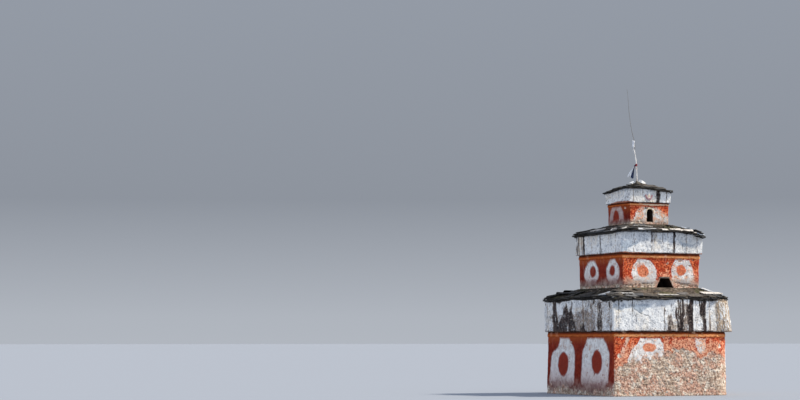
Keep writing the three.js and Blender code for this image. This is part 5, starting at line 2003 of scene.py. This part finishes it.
def ochre_plaster():
    """Ochre, deeper in the shade; painted chalky highlight on the lip, painted shade at the head; scuffed
    pink.
    """
    shade_dark, shade_light = (0.40, 0.068, 0.008), (0.56, 0.115, 0.016)
    lit_dark, lit_light = (0.78, 0.18, 0.040), (0.96, 0.36, 0.110)
    chalk, cream, brown = (0.95, 0.46, 0.20), (0.80, 0.62, 0.45), (0.22, 0.036, 0.008)
    black, pit, pink = (0.060, 0.022, 0.012), (0.17, 0.035, 0.012), (0.80, 0.45, 0.28)
    m = Paint("ochre_plaster", 0.93, 0.14)
    patch, grain, fine = m.noise(7, 4), m.noise(26, 4, 0.6), m.noise(90, 3)
    sunny, up = m.fields("sunny", "up")
    uneven = up + (patch - 0.5) * 0.35 + (grain - 0.5) * 0.45
    patches = m.fit(patch, 0.34, 0.66)
    colour = m.blend(sunny, m.blend(patches, shade_dark, shade_light), m.blend(patches, lit_dark, lit_light))
    # Painted highlight: a chalky line along the lower lip, stronger on the sunny sides.
    ledge = m.fit(uneven, 0.02, 0.14) * m.fit(uneven, 0.46, 0.26)
    colour = m.blend(ledge * m.vary(sunny, 0.10, 0.65), colour, chalk)
    colour = m.blend(m.field("cream") * m.fit(grain, 0.36, 0.52), colour, cream)
    # Painted shade from the frieze over the head of the course: brown, then black at the top.
    colour = m.blend(m.fit(uneven, 0.38, 0.58), colour, brown)
    colour = m.blend(m.fit(uneven, 0.66, 0.82), colour, black)
    colour = m.blend(m.fit(grain, 0.45, 0.35) * 0.75, colour, pit)
    colour = m.blend(m.fit(m.noise(4.2, 3), 0.60, 0.67) * m.vary(sunny, 0.20, 0.6), colour, pink)
    return m.finish(colour, grain * 0.7 + fine * 0.3, 0.016, 0.8)


def limewash(m, broad, patch, grain, speck):
    """The white itself, yellowed and greyed in patches, and cream where another coat was laid."""
    dull, white = (0.74, 0.75, 0.765), (0.95, 0.95, 0.94)
    yellowed, grey = (0.80, 0.74, 0.62), (0.30, 0.31, 0.34)
    cream_dark, cream_light = (0.62, 0.44, 0.31), (0.88, 0.80, 0.64)
    colour = m.blend(m.fit(patch + speck * 0.6, 0.34, 0.60), dull, white)
    colour = m.blend(m.fit(broad, 0.50, 0.66) * 0.30, colour, yellowed)
    colour = m.blend(m.fit(grain + (patch - 0.5) * 0.5, 0.46, 0.35) * 0.70, colour, grey)
    cream = m.field("cream") * m.fit(patch + speck * 0.5, 0.36, 0.58)
    return m.blend(cream, colour, m.blend(m.fit(grain, 0.38, 0.60), cream_dark, cream_light))


def rain_dirt(m, colour, wide_runs, thin_runs, flow, grime, patch, grain, speck):
    """Dirt that rain carried down the white: a brown film, grime, and black streaks with brown edges."""
    film, grime_dark, grime_light = (0.36, 0.30, 0.25), (0.09, 0.070, 0.062), (0.36, 0.27, 0.22)
    edge_dark, edge_light = (0.22, 0.135, 0.085), (0.62, 0.50, 0.38)
    black, soft_black = (0.014, 0.010, 0.011), (0.100, 0.072, 0.064)
    rain = m.fit(flow, 0.54, 0.64) * m.fit(m.noise(2.6, 3), 0.44, 0.60)
    colour = m.blend(rain * 0.55, colour, film)
    dirt = m.fit(flow * 0.9 + speck * 1.3 + patch * 0.35 + grime * 0.42, 0.82, 0.98)
    dirt = dirt * m.fit(grime, 0.05, 0.35)
    colour = m.blend(dirt * 0.9, colour, m.blend(m.fit(thin_runs, 0.42, 0.58), grime_dark, grime_light))
    streak, brown = m.fields("streak", "brown")
    edge = m.fit(brown + (flow - 0.5) * 1.6 + speck * 0.9, 0.34, 0.74) * 0.75
    colour = m.blend(edge, colour, m.blend(m.fit(grain, 0.40, 0.60), edge_dark, edge_light))
    ragged = streak + (thin_runs - 0.5) * 2.2 + (wide_runs - 0.5) + speck * 1.5
    blacks = m.blend(m.fit(grain + (thin_runs - 0.5), 0.42, 0.66), black, soft_black)
    return m.blend(m.fit(ragged, 0.33, 0.60), colour, blacks)


def whitewash():
    """The friezes: white over rough plaster, streaked, flaked, cracked and pitted, dirty at the head and the
    foot, with painted shade under the slates."""
    flake_dark, flake_light = (0.40, 0.33, 0.26), (0.60, 0.53, 0.44)
    crack_grey, spot, painted_shade_factors = (0.14, 0.13, 0.14), (0.16, 0.145, 0.15), (0.57, 0.64, 0.73)
    head_dark, head_light, foot_brown = (0.036, 0.028, 0.022), (0.16, 0.125, 0.10), (0.15, 0.095, 0.075)
    bare_dark, bare_light = (0.08, 0.050, 0.034), (0.48, 0.37, 0.27)
    mark_dark, mark_light, knob = (0.42, 0.15, 0.16), (0.60, 0.34, 0.34), (0.80, 0.66, 0.50)
    red_dark, red_light = (0.22, 0.045, 0.018), (0.50, 0.15, 0.06)
    m = Paint("whitewash", 0.90, 0.15)
    lengthwise = m.stretch(1, 0.6, 1)
    broad, patch = m.noise(1.3, 3), m.noise(6, 4, 0.6)
    grain, fine = m.noise(24, 4, 0.66, lengthwise), m.noise(70, 3, 0.6, lengthwise)
    grime, worn, drop, under = m.fields("grime", "worn", "drop", "under")
    speck = grain - 0.5 + (fine - 0.5) * 0.6
    # Rain has run down crookedly, so the place is bent before it is stretched into runs.
    bent = m.vector("MULTIPLY", m.noise(6.0, 3.0, 0.5, output="Color"), (0.10, 0.10, 0.0))
    bent = m.vector("ADD", m.place, bent)

    def runs(across, down):
        return m.noise(1, 4, 0.65, m.vector("MULTIPLY", bent, (across, across * 0.5, down)))

    wide_runs, thin_runs = runs(12, 2.0), runs(30, 4.5)
    flow = wide_runs * 0.55 + thin_runs * 0.45
    colour = limewash(m, broad, patch, grain, speck)
    colour = rain_dirt(m, colour, wide_runs, thin_runs, flow, grime, patch, grain, speck)
    # Flakes gone, cracks, pits and specks.
    flaked = m.fit(grain + (patch - 0.5) * 0.5, 0.62, 0.67) * 0.75
    colour = m.blend(flaked, colour, m.blend(fine, flake_dark, flake_light))
    crack = m.fit(m.field("crack") + speck * 0.5, 0.35, 0.6)
    colour = m.blend(crack * 0.62, colour, crack_grey)
    pits = m.fit(m.cells(14), 0.21, 0.12) * m.fit(m.noise(3.4, 2) + drop * 0.10, 0.50, 0.60)
    dense = m.fit(m.noise(9, 2) + grime * 0.16, 0.47, 0.58)
    specks = m.fit(m.cells(24) - grime * 0.14, 0.20, 0.09) * dense
    colour = m.blend(m.larger(pits * 0.8, specks) * 0.78, colour, spot)
    # Painted shade and dirt under the slates, and the lower edge, splashed and knocked.
    colour = m.darken(m.field("painted_shade"), colour, painted_shade_factors)
    # Dark rubble and dirt at the head, with painted shade from the slates over them.
    head_dirt_and_shade = m.fit(under - speck * 0.9 - (thin_runs - 0.5) * 1.6, 1.25, 0.80)
    colour = m.blend(head_dirt_and_shade * 0.95, colour, m.blend(m.fit(grain, 0.5, 0.68), head_dark, head_light))
    colour = m.blend(m.fit(drop + speck * 0.20, 0.955, 1.0) * 0.85, colour, foot_brown)
    # The worn round corner.
    bare = worn * m.fit(thin_runs + wide_runs * 0.4 + grain * 0.3, 0.76, 0.86)
    colour = m.blend(bare, colour, m.blend(m.fit(thin_runs, 0.43, 0.57), bare_dark, bare_light))
    # The crescent and its knob over the top niche, and the wall's red where it runs up on to the foot.
    mark = m.field("mark") * m.fit(grain, 0.30, 0.50)
    colour = m.blend(mark, colour, m.blend(patch, mark_dark, mark_light))
    colour = m.blend(m.field("knob"), colour, knob)
    colour = m.blend(m.field("painted") * 0.9, colour, m.blend(m.fit(grain, 0.42, 0.58), red_dark, red_light))
    height = grain * 0.65 + fine * 0.25 - pits * 0.7 - crack * 0.5 + m.noise(13, 3) * 0.9
    return m.finish(colour, height, 0.017, 0.9)


def slate_stone():
    """Split slates: brown-grey, some of them wet or pale, with painted shade on the shaded roofs, least on
    the palest.
    """
    dark, light, wet_grey = (0.036, 0.031, 0.027), (0.155, 0.132, 0.112), (0.13, 0.145, 0.165)
    pale_blue, pale_brown, pale_spot = (0.40, 0.44, 0.50), (0.64, 0.59, 0.54), (0.22, 0.20, 0.18)
    dusty, black = (0.34, 0.30, 0.25), (0.030, 0.025, 0.021)
    lichen, shade = (0.22, 0.19, 0.065), (0.42, 0.42, 0.42)
    m = Paint("slate_stone", 0.80, 0.25)
    tint, pale, wet = m.fields("tint", "pale", "wet")
    grain, fine = m.noise(14, 5, 0.6), m.noise(70, 3)
    colour = m.blend(m.fit(tint, 0.0, 1.0), dark, light)
    colour = m.blend(m.fit(wet, 0.70, 0.95) * 0.6, colour, wet_grey)
    pale_colour = m.blend(m.fit(tint, 0.5, 0.8), pale_blue, pale_brown)
    pale_colour = m.blend(m.fit(grain, 0.50, 0.38) * 0.6, pale_colour, pale_spot)
    colour = m.blend(m.fit(pale, 0.80, 0.95), colour, pale_colour)
    colour = m.blend(m.fit(grain, 0.58, 0.76), colour, dusty)
    colour = m.blend(m.fit(grain, 0.44, 0.30), colour, black)
    colour = m.blend(m.fit(m.noise(19, 3), 0.62, 0.72) * 0.8, colour, lichen)
    # Painted shade where the roof is marked shady, left off the palest slates.
    colour = m.darken(m.field("shady") * m.fit(pale, 0.95, 0.80), colour, shade)
    layers = m.noise(1, 4, 0.6, m.stretch(16, 16, 90))
    return m.finish(colour, layers * 0.7 + fine * 0.3, 0.006, 0.8)


def roof_earth():
    """Packed earth with moss, grit and gravel, with painted shade on the shaded roofs."""
    dark, light = (0.046, 0.036, 0.028), (0.140, 0.108, 0.084)
    moss, dust = (0.085, 0.085, 0.034), (0.30, 0.25, 0.20)
    black, grit, shade = (0.022, 0.018, 0.015), (0.34, 0.29, 0.22), (0.42, 0.42, 0.42)
    pebble_dark, pebble_light, pebble_spot = (0.065, 0.052, 0.042), (0.50, 0.42, 0.33), (0.05, 0.04, 0.032)
    m = Paint("roof_earth", 0.97, 0.1)
    stone_here, tint = m.fields("stone", "tint")
    broad, patch, grain, fine = m.noise(1.8, 3), m.noise(8, 4), m.noise(30, 4, 0.6), m.noise(100, 3)
    earth = m.blend(m.fit(patch, 0.35, 0.65), dark, light)
    earth = m.blend(m.fit(broad, 0.48, 0.60) * 0.65, earth, moss)
    earth = m.blend(m.fit(grain, 0.56, 0.70), earth, dust)
    earth = m.blend(m.fit(grain, 0.44, 0.32), earth, black)
    earth = m.blend(m.fit(m.cells(40), 0.20, 0.08) * 0.8, earth, grit)
    pebble = m.blend(m.fit(tint, 0.3, 1.0), pebble_dark, pebble_light)
    pebble = m.blend(m.fit(grain, 0.45, 0.30), pebble, pebble_spot)
    # Painted shade where the roof is marked shady.
    colour = m.darken(m.field("shady"), m.blend(stone_here, earth, pebble), shade)
    return m.finish(colour, grain * 0.7 + fine * 0.3, 0.014, 0.9)


def lime_stone():
    """Broken stone with limewash splashed over it."""
    bare, limed, dirt = (0.40, 0.36, 0.32), (0.90, 0.89, 0.87), (0.30, 0.25, 0.20)
    m = Paint("limewashed_stone", 0.88, 0.2)
    patch, grain = m.noise(18, 4), m.noise(60, 3)
    colour = m.blend(m.fit(patch, 0.30, 0.42), bare, limed)
    colour = m.blend(m.fit(grain, 0.40, 0.28), colour, dirt)
    return m.finish(colour, patch * 0.6 + grain * 0.4, 0.006, 0.7)


def weathered_wood():
    """Peeled wood, grained lengthwise: pale and stained for the pole, grey for the wand."""
    groove, pale, stain = (0.46, 0.40, 0.35), (0.84, 0.81, 0.78), (0.42, 0.25, 0.18)
    grey_dark, grey_light = (0.12, 0.10, 0.085), (0.30, 0.27, 0.24)
    m = Paint("weathered_wood", 0.82, 0.2)
    fibres = m.noise(1, 4, 0.6, m.stretch(140, 140, 6))
    colour = m.blend(m.fit(fibres, 0.30, 0.54), groove, pale)
    colour = m.blend(m.fit(m.noise(7, 3), 0.54, 0.66) * 0.6, colour, stain)
    colour = m.blend(m.field("grey"), colour, m.blend(fibres, grey_dark, grey_light))
    return m.finish(colour, fibres, 0.003, 0.8)


def scarf_cloth():
    """Thin white cloth with a weave, and painted shade in deep blue where it is marked dark."""
    dull, white, shade_blue = (0.72, 0.74, 0.80), (0.93, 0.93, 0.93), (0.040, 0.055, 0.120)
    m = Paint("scarf_cloth", 0.85, 0.2, 0.25)
    patch = m.noise(14, 3)
    weave = m.node("TexWave", {"Vector": m.place, "Scale": 260.0, "Distortion": 1.5}, "Fac") * 0.5
    colour = m.blend(m.fit(patch, 0.36, 0.64), dull, white)
    colour = m.blend(m.fit(m.field("dark") + (patch - 0.5) * 0.4, 0.40, 0.60), colour, shade_blue)
    return m.finish(colour, weave + patch * 0.6, 0.002, 0.6)


def red_cloth():
    dark, light = (0.13, 0.012, 0.022), (0.34, 0.035, 0.045)
    m = Paint("red_cloth", 0.9, 0.15, 0.2)
    colour = m.blend(m.fit(m.noise(30, 3), 0.36, 0.64), dark, light)
    return m.finish(colour, m.noise(150, 2), 0.002, 0.6)


MATERIALS = dict(
    red=red_plaster(), ochre=ochre_plaster(), white=whitewash(), slate=slate_stone(), earth=roof_earth(),
    lime=lime_stone(), wood=weathered_wood(), scarf=scarf_cloth(), red_cloth=red_cloth()
)

for tier in TIERS.values():
    build_wall(tier)
    build_course(tier)
    build_frieze(tier)
    build_slates(tier)
for name, pebbles, loose in (("base", 900, 34), ("middle", 450, 24), ("top", 120, 8)):
    build_roof(TIERS[name], pebbles)
    build_loose_slabs(TIERS[name], loose)
build_lintel(TIERS["middle"])
build_lintel(TIERS["top"])
build_wedge_stones()
build_pole_group()


# The stage: a plain floor, a low warm sun, a wide cool fill and a sky that is brighter above.
FLOOR_COLOUR, FLOOR_REACH = (0.27, 0.29, 0.33, 1), 700
# Name, strength, colour, width in degrees and direction of each light.
LIGHTS = (
    ("sun", 5.1, (1.0, 0.93, 0.80), 5, (-0.605, 0.235, -0.761)),
    ("fill", 0.32, (0.84, 0.91, 1.0), 120, (0.5, 0.6, -0.6)),
)
# The sky's colours, each with the height from 0 at the horizon to 1 overhead.
SKY = (
    (0.0, (0.44, 0.47, 0.52)), (0.012, (0.43, 0.46, 0.51)), (0.07, (0.27, 0.295, 0.34)),
    (0.25, (0.315, 0.35, 0.41)), (0.55, (0.61, 0.70, 0.87)),
)


def make_floor():
    m = Paint("floor", 0.9, 0.1)
    m.shader.inputs["Base Color"].default_value = FLOOR_COLOUR
    mesh = bpy.data.meshes.new("floor")
    corners = [(x * FLOOR_REACH, y * FLOOR_REACH, 0) for x, y in ((-1, -1), (1, -1), (1, 1), (-1, 1))]
    mesh.from_pydata(corners, [], [(0, 1, 2, 3)])
    mesh.materials.append(m.material)
    floor = bpy.data.objects.new("floor", mesh)
    bpy.context.scene.collection.objects.link(floor)


def make_lights():
    for name, energy, colour, angle, towards in LIGHTS:
        light = bpy.data.objects.new(name, bpy.data.lights.new(name, "SUN"))
        light.data.energy, light.data.color, light.data.angle = energy, colour, math.radians(angle)
        light.rotation_euler = facing(towards)
        bpy.context.scene.collection.objects.link(light)


def make_sky():
    world = bpy.data.worlds.new("sky")
    world.use_nodes = True
    nodes, links = world.node_tree.nodes, world.node_tree.links
    height = nodes.new("ShaderNodeSeparateXYZ")
    links.new(nodes.new("ShaderNodeTexCoord").outputs["Generated"], height.inputs[0])
    ramp = nodes.new("ShaderNodeValToRGB")
    links.new(height.outputs["Z"], ramp.inputs[0])
    while len(ramp.color_ramp.elements) < len(SKY):
        ramp.color_ramp.elements.new(0.5)
    for element, (place, colour) in zip(ramp.color_ramp.elements, SKY):
        element.position, element.color = place, (*colour, 1)
    links.new(ramp.outputs[0], nodes["Background"].inputs["Color"])
    bpy.context.scene.world = world
    bpy.context.scene.view_settings.view_transform = "Standard"


make_floor()
make_lights()
make_sky()
